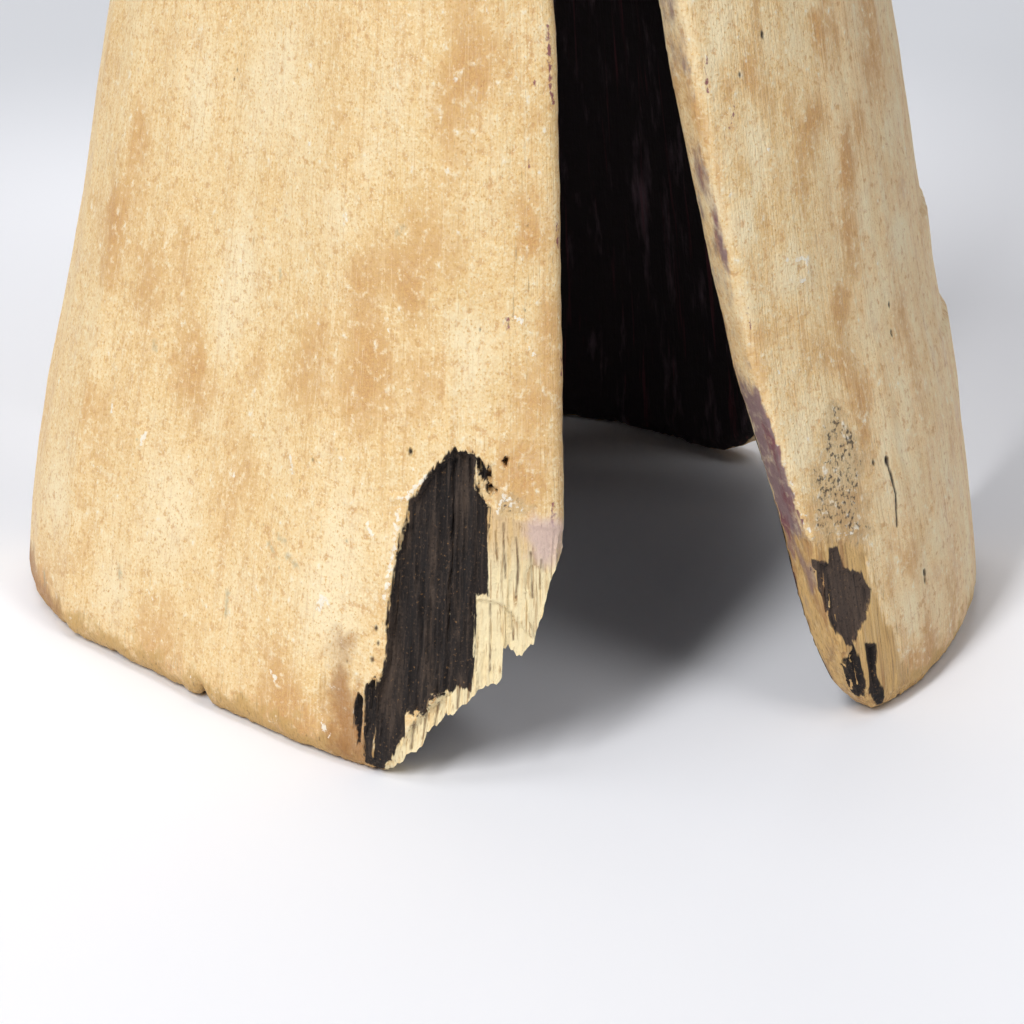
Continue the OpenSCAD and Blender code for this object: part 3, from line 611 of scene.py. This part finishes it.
def break_corner(obj, tooth):
    """Cut the left leg's corner off along a splintered edge."""
    rng = random.Random(11)
    edge = []
    for (a0, z0), (a1, z1) in zip(LEFT_BREAK, LEFT_BREAK[1:]):
        steps = max(1, round(max(abs(a1 - a0) * ARC / 0.7, abs(z1 - z0) / 6)))
        for k in range(steps):
            share = k / steps
            ragged = rng.uniform(-tooth, 0.4 * tooth) if 0 < k else 0.0
            edge.append((a0 + (a1 - a0) * share, z0 + (z1 - z0) * share + ragged / MM))
    edge += [LEFT_BREAK[-1], (LEFT_BREAK[0][0], LEFT_BREAK[-1][1])]
    bm = bmesh.new()
    azimuth = hinge_azimuth("left")
    inner_radius, outer_radius = 100 * MM, 168 * MM
    ring = []
    for angle, height in edge:
        turn = math.radians(azimuth + angle)
        ring.append(bm.verts.new((inner_radius * math.cos(turn), inner_radius * math.sin(turn), height * MM)))
    face = bm.faces.new(ring)
    grown = bmesh.ops.extrude_face_region(bm, geom=[face])
    spread = outer_radius / inner_radius
    bmesh.ops.scale(
        bm, vec=(spread, spread, 1), verts=[v for v in grown["geom"] if isinstance(v, bmesh.types.BMVert)])
    bmesh.ops.triangulate(bm, faces=bm.faces)
    bmesh.ops.recalc_face_normals(bm, faces=bm.faces)
    mesh = bpy.data.meshes.new("break_cutter")
    bm.to_mesh(mesh)
    bm.free()
    cutter = bpy.data.objects.new("break_cutter", mesh)
    bpy.context.scene.collection.objects.link(cutter)
    cut = obj.modifiers.new("break", "BOOLEAN")
    cut.object = cutter
    cut.operation = "DIFFERENCE"
    cut.solver = "MANIFOLD"
    settle(obj)
    bpy.data.objects.remove(cutter)


def store_fields(obj, side):
    """Keep on each vertex of a leg what its material reads: grain, marks, hollow, edge and patches."""
    mesh = obj.data
    points = points_of(mesh)
    flat = grain_points(points, side)
    angle, _ = on_leg(points, side)
    outward, _ = facing_out(mesh, points)
    height = points[:, 2]
    fields = frayed_fields(points, flat, side)
    slot = fields.pop("slot")
    fields["char"] = np.ones(len(points)) if side == "left" else ease((slot + 0.6) / 0.8)
    fields["rot"] = np.maximum(fields["rot"], slot)
    if side == "right":
        # The older break has a softer border, and its rot stops at the cut edge
        fields["raw"] *= 0.16
        fields["rot"] -= 5 * ease((0.3 - outward) / 0.3)
    fields["hollow"] = ease((-0.2 - outward) / 0.35)
    # The right leg has its own tone, paler most towards its far edge; that paleness is partly painted light where
    # the far side gets little light
    fields["right_tone_and_lit"] = 0.35 + 0.65 * ease((angle + 28) / 24) if side == "right" else np.zeros(len(points))
    # The right leg's cut edge beside the gap carries real dye; every other cut edge gets a thinner coat of the
    # same mauve, which is painted shade along its rounding
    dye_and_edge_shade = 0.6
    if side == "right":
        kept = 0.36 * ease((106 - height) / 24) * ease((height - 22) / 30)
        dye_and_edge_shade = np.where(angle < 0, 0.64 + kept, dye_and_edge_shade)
    fields["edge"] = dye_and_edge_shade * ease((0.82 - outward) / 0.35) * (1 - fields["hollow"])
    patch = np.zeros(len(points))
    for at, up, size, tone in BLOTCHES[side]:
        reach = np.hypot((angle - at) * ARC, (height - up) / 1.4) / size
        patch += tone * np.exp(-reach * reach)
    if side != "left":
        patch += 0.15 + 0.9 * rough(flat, 8, 16, 4)
        # Splashed dye stops short of the cut edges
        fields["ink"] -= 4 * ease((0.75 - outward) / 0.3)
    fields["patch"] = patch
    # A mark on the outer skin doesn't show on the inside of the wall
    for kind in SKIN_KINDS:
        fields[kind] = np.where(outward > -0.1, fields[kind], FAR_OUTSIDE)
    for name, values in fields.items():
        mesh.attributes.new(name, "FLOAT", "POINT").data.foreach_set("value", values.astype(np.float32))
    mesh.attributes.new("grain", "FLOAT_VECTOR", "POINT").data.foreach_set(
        "vector", flat.astype(np.float32).ravel())


def plug(tree, node, sockets):
    """Set inputs of a node to values, or link them to other nodes' sockets."""
    for key, value in sockets.items():
        if isinstance(value, bpy.types.NodeSocket):
            tree.links.new(value, node.inputs[key])
        else:
            node.inputs[key].default_value = value


def add(tree, kind, sockets=None, **settings):
    """Add a node, with its properties from settings and its inputs set or linked from sockets."""
    node = tree.nodes.new(kind)
    for name, value in settings.items():
        setattr(node, name, value)
    plug(tree, node, sockets or {})
    return node


def blank_material(name):
    """New material, its tree and its shader."""
    material = bpy.data.materials.new(name)
    material.use_nodes = True
    return material, material.node_tree, material.node_tree.nodes["Principled BSDF"]


def patterns(tree, where, sizes):
    """Noise fields over points in mm, each from its width, its run along the grain, detail and seed."""
    fields = {}
    for name, (width, run, detail, seed) in sizes.items():
        scale = (1 / width, 1 / width, 1 / run)
        spot = add(tree, "ShaderNodeVectorMath", {0: where, 1: scale}, operation="MULTIPLY")
        field = add(tree, "ShaderNodeTexNoise", {
            "Vector": spot.outputs[0], "W": seed, "Scale": 1.0, "Detail": detail, "Roughness": 0.6,
        }, noise_dimensions="4D")
        fields[name] = field.outputs[0]
    return fields


def paint(tree, ground, layers):
    """Lay colours or values over a ground, each where its field passes from start to full."""
    for field, start, full, strength, coat in layers:
        mask = add(tree, "ShaderNodeMapRange", {
            "Value": field, "From Min": start, "From Max": full, "To Min": 0.0, "To Max": strength,
        }, interpolation_type="SMOOTHSTEP").outputs[0]
        if isinstance(coat, float):
            ground = add(tree, "ShaderNodeMix", {0: mask, 2: ground, 3: coat}).outputs[0]
        else:
            ground = add(tree, "ShaderNodeMix", {0: mask, 6: ground, 7: coat}, data_type="RGBA").outputs[2]
    return ground


def weathered_wood(wood):
    """Weathered hardwood, hewn from a log and left bare.

    Dry and matt, with sun-bleached and handled patches, a crumbled skin, and the black core, torn fibre
    and old dye where the skin is gone. Painted shade darkens the inside of the hollow and most rounded edges,
    painted highlight and shade lie on the black core's fibres and grooves, and painted light pales the right
    leg towards its far side.
    """
    material, tree, shader = blank_material("weathered_hardwood_hewn")
    grain = add(tree, "ShaderNodeAttribute", attribute_name="grain").outputs["Vector"]
    along = add(tree, "ShaderNodeSeparateXYZ", {0: grain})
    across, up = along.outputs[0], along.outputs[2]
    # Widths and runs in mm: pores of this wood are about 0.2 mm and are drawn three times as coarse to show
    seen = patterns(tree, grain, {
        "cloud": (24, 40, 5, 1), "mottle": (8, 9, 6, 2), "crumble": (2.4, 2.5, 6, 3),
        "granule": (0.7, 0.75, 3, 4), "streak": (3.2, 60, 3, 5), "pore": (0.6, 8, 3, 6),
        "speck": (1.3, 1.4, 5, 7), "fibre": (0.6, 34, 3, 8), "ridge": (1.7, 60, 3, 9),
        "ragged": (1.1, 8, 4, 10), "bloom": (7, 34, 5, 11), "dye_and_shade": (6, 16, 5, 12), "scuff": (5, 6, 7, 13),
    })
    read = {}
    for name in ("block", "char", "hollow", "edge", "right_tone_and_lit"):
        read[name] = add(tree, "ShaderNodeAttribute", attribute_name=name).outputs["Fac"]
    # Each mark's border wanders by half its reach either way, in mm
    for name, pattern, reach in (
        ("rot", "ragged", 2.4), ("raw", "ragged", 2.2), ("crust", "scuff", 26), ("stain", "scuff", 18),
        ("smear", "scuff", 8), ("chalk", "speck", 5), ("pit", "ragged", 1.4), ("patch", "cloud", 3.2),
        ("ink", "speck", 3), ("bruise", "crumble", 4), ("crack", "ragged", 1.6),
    ):
        field = add(tree, "ShaderNodeAttribute", attribute_name=name).outputs["Fac"]
        moved = add(tree, "ShaderNodeMath", {0: seen[pattern], 1: -0.5}, operation="ADD").outputs[0]
        sockets = {0: moved, 1: reach, 2: field}
        read[name] = add(tree, "ShaderNodeMath", sockets, operation="MULTIPLY_ADD").outputs[0]
    # Mask of the mauve edge colour: real dye on the right leg's edge beside the gap, painted shade on the other
    # rounded edges
    dye_and_edge_shade = add(tree, "ShaderNodeMath", {0: seen["dye_and_shade"], 1: read["edge"]}, operation="MULTIPLY").outputs[0]
    sockets = {0: seen["mottle"], 1: -30.0, 2: up}
    low = add(tree, "ShaderNodeMath", sockets, operation="MULTIPLY_ADD").outputs[0]
    # Specks and flakes crowd in the crust, scuffs along the chalky lines, pores and furrows at the
    # trodden rim, and grains in brown patches
    specks = paint(tree, seen["speck"], ((read["crust"], -1.0, 4.0, 0.41, 1.0),))
    scuffs = paint(tree, seen["scuff"], ((read["chalk"], -0.5, 0.3, 0.5, 1.0),))
    flakes = paint(tree, seen["crumble"], ((read["crust"], -2.0, 3.0, 0.16, 1.0),))
    pores = paint(tree, seen["pore"], ((up, 20.0, 2.0, 0.3, 1.0),))
    furrows = paint(tree, seen["ragged"], ((low, -4.0, -10.0, 0.35, 1.0),))
    grains = paint(tree, seen["granule"], (
        (read["patch"], 0.3, -0.9, 0.12, 1.0),
        (read["right_tone_and_lit"], 0.0, 1.0, 0.4, 0.5),
    ))
    sound = paint(tree, wood.tan, (
        # The right leg's paler colour is partly painted light
        (read["right_tone_and_lit"], 0.0, 1.0, 0.75, wood.right_tone_and_lit),
        (across, 450.0, 590.0, 0.4, wood.peach),
        (seen["cloud"], 0.46, 0.66, 0.35, wood.gold),
        (read["patch"], -0.1, 1.2, 0.9, wood.bleached),
        (read["patch"], 0.1, -1.2, 0.9, wood.brown),
        (seen["mottle"], 0.50, 0.66, 0.34, wood.bleached),
        (seen["mottle"], 0.48, 0.32, 0.28, wood.brown),
        (seen["streak"], 0.54, 0.72, 0.38, wood.brown),
        (seen["crumble"], 0.52, 0.64, 0.62, wood.bleached),
        (seen["crumble"], 0.46, 0.35, 0.66, wood.brown),
        (seen["fibre"], 0.55, 0.70, 0.45, wood.brown),
        (seen["fibre"], 0.45, 0.32, 0.45, wood.bleached),
        (grains, 0.54, 0.64, 0.75, wood.gold),
        (grains, 0.60, 0.72, 0.85, wood.brown),
        (grains, 0.47, 0.36, 0.8, wood.bleached),
        (low, -5.0, -11.0, 0.85, wood.trodden),
        (furrows, 0.71, 0.82, 0.7, wood.pore),
        (read["stain"], -4.0, 5.0, 0.75, wood.stain),
        (read["crust"], -2.0, 3.0, 0.5, wood.crust),
        (pores, 0.62, 0.78, 0.35, wood.pore),
        (read["bruise"], -1.0, 1.0, 0.6, wood.bruise),
        (flakes, 0.62, 0.72, 0.8, wood.chalk),
        (specks, 0.70, 0.78, 0.85, wood.rot),
        (scuffs, 0.67, 0.74, 0.9, wood.chalk),
        (read["ink"], -0.3, 0.3, 0.85, wood.ink),
    ))
    older = paint(tree, wood.torn_old, (
        (seen["streak"], 0.47, 0.62, 0.75, wood.stain),
        (seen["fibre"], 0.45, 0.32, 0.4, wood.torn),
        (seen["ragged"], 0.56, 0.68, 0.6, wood.pore),
    ))
    torn = paint(tree, wood.torn, (
        (read["right_tone_and_lit"], 0.0, 0.3, 0.9, older),
        (up, 54.0, 70.0, 0.5, wood.brown),
        (seen["ridge"], 0.50, 0.64, 0.5, wood.gold),
        (read["block"], -0.2, 0.3, 0.6, wood.torn),
        (seen["fibre"], 0.54, 0.64, 0.6, wood.torn_line),
        (seen["ridge"], 0.40, 0.32, 0.6, wood.torn_line),
        (seen["pore"], 0.62, 0.76, 0.4, wood.torn_line),
    ))
    # On the core the paler fibre colour is partly a painted highlight on ridges, and the darkest grooves are
    # partly painted shade
    core = paint(tree, wood.worn, (
        (seen["streak"], 0.52, 0.70, 0.35, wood.stain),
        (read["char"], 0.1, 0.7, 1.0, wood.rot),
        (seen["bloom"], 0.48, 0.64, 0.45, wood.rot_fibre_and_highlight),
        (seen["ridge"], 0.50, 0.66, 0.3, wood.rot_fibre_and_highlight),
        (seen["granule"], 0.54, 0.68, 0.4, wood.rot_fibre_and_highlight),
        (seen["fibre"], 0.54, 0.68, 0.25, wood.rot_fibre_and_highlight),
        (seen["ridge"], 0.46, 0.34, 0.8, wood.rot_groove_and_shade),
        (seen["granule"], 0.44, 0.34, 0.7, wood.rot_groove_and_shade),
        (seen["granule"], 0.63, 0.71, 0.55, wood.torn_line),
    ))
    # Inside of the wall: dark dye with painted shade that keeps the hollow near black, under lilac bloom and dye
    # streaks
    hollow = paint(tree, wood.hollow_dye_and_shade, (
        (seen["bloom"], 0.52, 0.76, 0.8, wood.bloom),
        (seen["streak"], 0.56, 0.74, 0.5, wood.dye_and_shade),
    ))
    # Edge colour: mauve with crimson patches, partly real dye and partly painted shade along the rounding
    rim = paint(tree, wood.mauve, (
        (seen["bloom"], 0.52, 0.62, 0.7, wood.dye_and_shade),
        (seen["crumble"], 0.50, 0.66, 0.25, wood.bleached),
    ))
    colours = paint(tree, sound, (
        (dye_and_edge_shade, 0.27, 0.44, 0.95, rim),
        (read["raw"], -0.2, 0.5, 1.0, torn),
        (dye_and_edge_shade, 0.38, 0.54, 0.7, rim),
        (read["smear"], -2.0, 3.0, 0.8, wood.lilac),
        (read["rot"], -0.2, 0.4, 1.0, core),
        (read["crack"], -0.3, 0.4, 0.85, wood.crack),
        (read["pit"], -0.3, 0.4, 0.92, wood.rot),
        (read["hollow"], 0.35, 0.75, 1.0, hollow),
    ))
    gloss = paint(tree, seen["mottle"], (
        (seen["mottle"], 0.2, 0.8, 1.0, 0.62),
        (read["rot"], -0.2, 0.4, 1.0, 0.88),
        (read["hollow"], 0.35, 0.75, 1.0, 0.85),
    ))
    relief = seen["pore"]
    for name, share in (("granule", 1.0), ("crumble", 2.2), ("fibre", 1.0), ("ridge", 1.2)):
        sockets = {0: seen[name], 1: share, 2: relief}
        relief = add(tree, "ShaderNodeMath", sockets, operation="MULTIPLY_ADD").outputs[0]
    bump = add(tree, "ShaderNodeBump", {"Strength": 0.6, "Distance": 0.5 * MM, "Height": relief})
    plug(tree, shader, {"Base Color": colours, "Roughness": gloss, "IOR": 1.45, "Normal": bump.outputs[0]})
    return material


def object_mm(tree):
    """Object coordinates of a material in mm."""
    place = add(tree, "ShaderNodeTexCoord").outputs["Object"]
    return add(tree, "ShaderNodeVectorMath", {0: place, 1: (1 / MM,) * 3}, operation="MULTIPLY").outputs[0]


def turned_wood(wood):
    """Close-grained hardwood, turned and oiled: plank grain runs straight across, with a low sheen."""
    material, tree, shader = blank_material("hardwood_turned_oiled")
    # The plank's grain runs along X, so widths are across Y and Z
    quarter = (0, math.pi / 2, 0)
    turned = add(tree, "ShaderNodeMapping", {"Vector": object_mm(tree), "Rotation": quarter}).outputs[0]
    seen = patterns(tree, turned, {"ring": (5, 140, 3, 1), "pore": (0.5, 14, 2, 2), "hand": (26, 40, 4, 3)})
    colours = paint(tree, wood.oiled, (
        (seen["ring"], 0.45, 0.65, 0.75, wood.oiled_dark),
        (seen["hand"], 0.52, 0.72, 0.4, wood.brown),
        (seen["pore"], 0.60, 0.74, 0.8, wood.oiled_dark),
    ))
    gloss = paint(tree, seen["hand"], (
        (seen["hand"], 0.3, 0.7, 1.0, 0.42),
        (seen["pore"], 0.6, 0.75, 0.7, 0.7),
    ))
    # Pores are sunk
    bump = add(tree, "ShaderNodeBump", {
        "Strength": 0.3, "Distance": 0.25 * MM, "Height": seen["pore"],
    }, invert=True)
    plug(tree, shader, {"Base Color": colours, "Roughness": gloss, "Normal": bump.outputs[0]})
    return material


def aged_brass(metal):
    """Cast brass, filed and long handled: warm metal with brown tarnish, fine scratches and no polish."""
    material, tree, shader = blank_material("brass_cast_aged")
    seen = patterns(tree, object_mm(tree), {
        "cloud": (13, 13, 5, 1), "spot": (2.2, 2.2, 4, 2), "scratch": (0.35, 9, 2, 3)})
    colours = paint(tree, metal.brass, (
        (seen["cloud"], 0.46, 0.68, 0.75, metal.tarnish),
        (seen["spot"], 0.58, 0.74, 0.7, metal.tarnish),
    ))
    gloss = paint(tree, seen["spot"], (
        (seen["cloud"], 0.0, 0.3, 1.0, 0.34),
        (seen["cloud"], 0.46, 0.70, 0.8, 0.58),
        (seen["scratch"], 0.6, 0.75, 0.4, 0.5),
    ))
    bump = add(tree, "ShaderNodeBump", {"Strength": 0.25, "Distance": 0.15 * MM, "Height": seen["spot"]})
    plug(tree, shader, {
        "Base Color": colours, "Roughness": gloss, "Metallic": 1.0, "Normal": bump.outputs[0]})
    return material


def dull_steel(metal):
    """Mild steel, turned and left bare: grey metal gone dull, with thin rust in spots."""
    material, tree, shader = blank_material("mild_steel_turned")
    seen = patterns(tree, object_mm(tree), {"spot": (2.6, 2.6, 5, 1), "line": (6, 0.4, 2, 2)})
    colours = paint(tree, metal.steel, ((seen["spot"], 0.55, 0.72, 0.8, metal.rust),))
    gloss = paint(tree, seen["line"], (
        (seen["line"], 0.2, 0.8, 1.0, 0.4),
        (seen["spot"], 0.5, 0.7, 0.9, 0.7),
    ))
    bump = add(tree, "ShaderNodeBump", {"Strength": 0.2, "Distance": 0.1 * MM, "Height": seen["line"]})
    plug(tree, shader, {
        "Base Color": colours, "Roughness": gloss, "Metallic": 1.0, "Normal": bump.outputs[0]})
    return material


def matt_leather(metal):
    """Vegetable-tanned leather, pressed flat and worn matt: small pebbled grain with dark valleys."""
    material, tree, shader = blank_material("leather_tanned_matt")
    where = object_mm(tree)
    seen = patterns(tree, where, {"worn": (14, 14, 4, 1), "fine": (0.9, 0.9, 3, 2)})
    # Pebbles of about 1 mm are drawn at 1.6 mm to show
    pebble = add(tree, "ShaderNodeTexVoronoi", {
        "Vector": where, "Scale": 1 / 1.6,
    }, feature="DISTANCE_TO_EDGE").outputs[0]
    colours = paint(tree, metal.leather, (
        (seen["worn"], 0.5, 0.72, 0.5, metal.crease),
        (pebble, 0.16, 0.02, 0.8, metal.crease),
    ))
    sockets = {0: seen["fine"], 1: 0.3, 2: pebble}
    height = add(tree, "ShaderNodeMath", sockets, operation="MULTIPLY_ADD").outputs[0]
    bump = add(tree, "ShaderNodeBump", {"Strength": 0.5, "Distance": 0.4 * MM, "Height": height})
    plug(tree, shader, {"Base Color": colours, "Roughness": 0.66, "Normal": bump.outputs[0]})
    return material


def finish_of(slot):
    """Material of one of the record's slots, made once."""
    scene = bpy.context.scene
    makers = {
        "leg_wood": (weathered_wood, scene.tripod_wood), "head_wood": (turned_wood, scene.tripod_wood),
        "brass": (aged_brass, scene.tripod_metal), "steel": (dull_steel, scene.tripod_metal),
        "leather": (matt_leather, scene.tripod_metal),
    }
    made = next((m for m in bpy.data.materials if m.get("tripod_slot") == slot), None)
    if made is None:
        maker, colours = makers[slot]
        made = maker(colours)
        made["tripod_slot"] = slot
    return made


def make_leg(side):
    """Carve one leg from its CAD shape and put it on its body."""
    sizes = bpy.context.scene.tripod_carving
    obj = merged_copy(f"leg_{side}", f"carved_leg_{side}")
    if side == "left":
        restore_corner(obj)
    fine_grid(obj, sizes.cell)
    if side != "rear":
        spread_foot(obj, side)
        # Cells are halved round the marks, then once more close to them
        for margin in (7, 1.5):
            refine(obj, side, margin)
    carve(obj, side, sizes)
    if side == "left":
        break_corner(obj, sizes.tooth)
    store_fields(obj, side)
    finish_piece(obj, finish_of("leg_wood"), f"{side}_leg", [f"leg_{side}"], crisp=50)


def eased_piece(node, name, body, slot, edge):
    """Copy of a CAD node with its sharp edges rounded, standing for that node."""
    obj = merged_copy(node, name)
    bm = bmesh.new()
    bm.from_mesh(obj.data)
    bmesh.ops.dissolve_limit(bm, angle_limit=math.radians(1), verts=bm.verts, edges=bm.edges)
    sharp = [e for e in bm.edges if len(e.link_faces) == 2 and e.calc_face_angle() > math.radians(40)]
    bmesh.ops.bevel(
        bm, geom=sharp, offset=edge, offset_type="OFFSET", segments=2, profile=0.5, affect="EDGES",
        clamp_overlap=True, material=-1)
    bm.to_mesh(obj.data)
    bm.free()
    finish_piece(obj, finish_of(slot), body, [node])


class TRIPOD_OT_legs(bpy.types.Operator):
    """Carve the legs: the left with its torn corner, the right with its worn foot, and the rear"""
    bl_idname = "tripod.legs"
    bl_label = "Legs"

    def execute(self, context):
        for side in SIDES:
            make_leg(side)
        return {"FINISHED"}


class TRIPOD_OT_head(bpy.types.Operator):
    """Turn the head and lay its brass plate and leather facing"""
    bl_idname = "tripod.head"
    bl_label = "Head"

    def execute(self, context):
        edge = context.scene.tripod_metal.edge
        eased_piece("head_block", "turned_head", "head", "head_wood", 3 * edge)
        eased_piece("top_plate", "brass_top_plate", "head", "brass", edge)
        eased_piece("head_facing", "leather_facing", "head", "leather", edge)
        return {"FINISHED"}


class TRIPOD_OT_hinges(bpy.types.Operator):
    """Make the brackets, the leg sockets and the wing nuts"""
    bl_idname = "tripod.hinges"
    bl_label = "Hinges"

    def execute(self, context):
        edge = context.scene.tripod_metal.edge
        for side in SIDES:
            eased_piece(f"hinge_bracket_{side}", f"cast_bracket_{side}", "head", "brass", edge)
            eased_piece(f"leg_socket_{side}", f"cast_socket_{side}", f"{side}_leg", "brass", edge)
            eased_piece(f"wing_nut_{side}", f"cast_wing_nut_{side}", f"{side}_nut", "brass", edge)
        return {"FINISHED"}


class TRIPOD_OT_camera_screw(bpy.types.Operator):
    """Cut the camera screw's thread and make its fluted knob"""
    bl_idname = "tripod.camera_screw"
    bl_label = "Camera screw"

    def execute(self, context):
        pitch = context.scene.tripod_metal.pitch
        # Radii of the thread, how far its foot is sunk in the core, and steps to a turn
        crest, root, sunk, steps = 4.74 * MM, 3.95 * MM, 0.2 * MM, 40
        start = 0.4 * MM
        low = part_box("head_facing")[1].z + start
        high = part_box("camera_screw")[1].z
        screw = merged_copy("camera_screw", "threaded_camera_screw")
        bm = bmesh.new()
        bm.from_mesh(screw.data)
        # The plain top of the CAD screw becomes the root of the thread
        top = [v for v in bm.verts if v.co.z > low]
        for v in top:
            radius = math.hypot(v.co.x, v.co.y)
            if radius > root:
                v.co.x *= root / radius
                v.co.y *= root / radius
        # One V of the thread is swept round and up
        rise = low + 0.5 * pitch
        tooth = [(root - sunk, -0.46), (crest, -0.08), (crest, 0.08), (root - sunk, 0.46)]
        ring = [bm.verts.new((r, 0, rise + z * pitch)) for r, z in tooth]
        face = bm.faces.new(ring)
        turns = (high - low) / pitch - 1.1
        bmesh.ops.spin(
            bm, geom=[face, *face.edges, *face.verts], cent=(0, 0, 0), axis=(0, 0, 1),
            dvec=(0, 0, pitch / steps), angle=2 * math.pi * turns, steps=round(turns * steps),
            use_merge=False)
        bmesh.ops.recalc_face_normals(bm, faces=bm.faces)
        bm.to_mesh(screw.data)
        bm.free()
        finish_piece(screw, finish_of("steel"), "screw_set", ["camera_screw"])
        eased_piece("camera_knob", "fluted_knob", "screw_set", "brass", 0.6 * context.scene.tripod_metal.edge)
        return {"FINISHED"}


class TRIPOD_OT_fasteners(bpy.types.Operator):
    """Finish the screws, bolts, washers and pin that keep their CAD shapes"""
    bl_idname = "tripod.fasteners"
    bl_label = "Fasteners"

    def execute(self, context):
        slots = {part["node"]: part["material_slot"] for part in frame["record"]["subparts"]}
        for name, node in frame["nodes"].items():
            if not node.hide_render:
                node.data.materials.clear()
                node.data.materials.append(finish_of(slots[name]))
        return {"FINISHED"}


class TRIPOD_OT_stage(bpy.types.Operator):
    """Lay the pale floor, hang the lights and set the camera"""
    bl_idname = "tripod.stage"
    bl_label = "Stage"

    def execute(self, context):
        stage = context.scene.tripod_stage
        # The floor lies a little below the feet, 6 m to each side
        half_width, drop = 6, 0.3 * MM
        bm = bmesh.new()
        bmesh.ops.create_grid(bm, x_segments=8, y_segments=8, size=half_width)
        bmesh.ops.translate(bm, vec=(0, 0, -drop), verts=bm.verts)
        mesh = bpy.data.meshes.new("paper_floor")
        bm.to_mesh(mesh)
        bm.free()
        floor = bpy.data.objects.new("paper_floor", mesh)
        context.scene.collection.objects.link(floor)
        # Seamless paper, matt; painted shade makes it a little greyer well away from the object, in place of light
        # falling off
        material, tree, shader = blank_material("paper_seamless_matt")
        place = add(tree, "ShaderNodeTexCoord").outputs["Object"]
        away = add(tree, "ShaderNodeVectorMath", {0: place}, operation="LENGTH").outputs["Value"]
        shade = paint(tree, stage.paper, ((away, 0.36, 0.62, 1.0, stage.paper_far_shade),))
        plug(tree, shader, {"Base Color": shade, "Roughness": 0.9})
        mesh.materials.append(material)

        # Each lamp is a flat strip of a width in m, from its lower end to its upper end, facing the object
        for name, power, width, low, high in (
            ("key_strip", stage.key, 0.63, (-2.15, -2.95, 2.11), (-1.46, -1.02, 3.82)),
            ("fill_strip", stage.fill, 0.49, (1.75, -3.03, 2.45), (0.87, -0.68, 4.13)),
            ("top_panel", stage.top, 1.4, (-1.3, 0.35, 3.83), (0.1, 0.35, 4.05)),
            ("back_panel", stage.back, 2.9, (-0.34, 3.88, 1.57), (-0.19, 2.22, 3.56)),
        ):
            low, high = Vector(low), Vector(high)
            light = bpy.data.lights.new(name, "AREA")
            light.shape = "RECTANGLE"
            light.energy = power
            light.size = width
            light.size_y = (high - low).length
            lamp = bpy.data.objects.new(name, light)
            lamp.location = (low + high) / 2
            back = lamp.location.normalized()
            along = (high - low - (high - low).dot(back) * back).normalized()
            lamp.rotation_euler = Matrix((along.cross(back), along, back)).transposed().to_euler()
            context.scene.collection.objects.link(lamp)

        world = bpy.data.worlds.new("studio")
        world.use_nodes = True
        tree = world.node_tree
        ray = add(tree, "ShaderNodeLightPath").outputs
        shown = ray["Is Camera Ray"]
        for other in ("Is Glossy Ray", "Is Transmission Ray"):
            shown = add(tree, "ShaderNodeMath", {0: shown, 1: ray[other]}, operation="MAXIMUM").outputs[0]
        level = add(tree, "ShaderNodeMix", {0: shown, 2: stage.ambient, 3: 0.8}).outputs[0]
        plug(tree, tree.nodes["Background"], {"Strength": level, "Color": linear("#f6f8ff")})
        context.scene.world = world

        # A viewpoint about 1 m away, looking 23 degrees down
        data = bpy.data.cameras.new("camera")
        data.lens = stage.lens
        data.sensor_width = 36
        camera = bpy.data.objects.new("camera", data)
        camera.location = (-0.12534, -0.97962, 0.4375)
        camera.rotation_euler = (math.radians(67), 0, math.radians(-7.5))
        context.scene.collection.objects.link(camera)
        context.scene.camera = camera
        context.scene.view_settings.view_transform = "Standard"
        return {"FINISHED"}


GROUPS = {
    "tripod_wood": TripodWood, "tripod_carving": TripodCarving,
    "tripod_metal": TripodMetal, "tripod_stage": TripodStage,
}
OPERATORS = (
    TRIPOD_OT_stage, TRIPOD_OT_legs, TRIPOD_OT_head, TRIPOD_OT_hinges, TRIPOD_OT_camera_screw,
    TRIPOD_OT_fasteners,
)


class TRIPOD_PT_sidebar(bpy.types.Panel):
    """Lists the tripod's pieces and their settings"""
    bl_label = "Tripod"
    bl_idname = "TRIPOD_PT_sidebar"
    bl_space_type = "VIEW_3D"
    bl_region_type = "UI"
    bl_category = "Tripod"

    def draw(self, context):
        for operator in OPERATORS:
            self.layout.operator(operator.bl_idname)
        for name, group in GROUPS.items():
            box = self.layout.box()
            for prop in group.__annotations__:
                box.prop(getattr(context.scene, name), prop)


def register():
    for cls in (*GROUPS.values(), *OPERATORS, TRIPOD_PT_sidebar):
        bpy.utils.register_class(cls)
    for name, group in GROUPS.items():
        setattr(bpy.types.Scene, name, bpy.props.PointerProperty(type=group))


def unregister():
    for name in GROUPS:
        delattr(bpy.types.Scene, name)
    for cls in (TRIPOD_PT_sidebar, *reversed(OPERATORS), *GROUPS.values()):
        bpy.utils.unregister_class(cls)


def main():
    """Build everything in order."""
    register()
    for operator in OPERATORS:
        getattr(bpy.ops.tripod, operator.bl_idname.split(".")[1])()


if __name__ == "__main__":
    main()
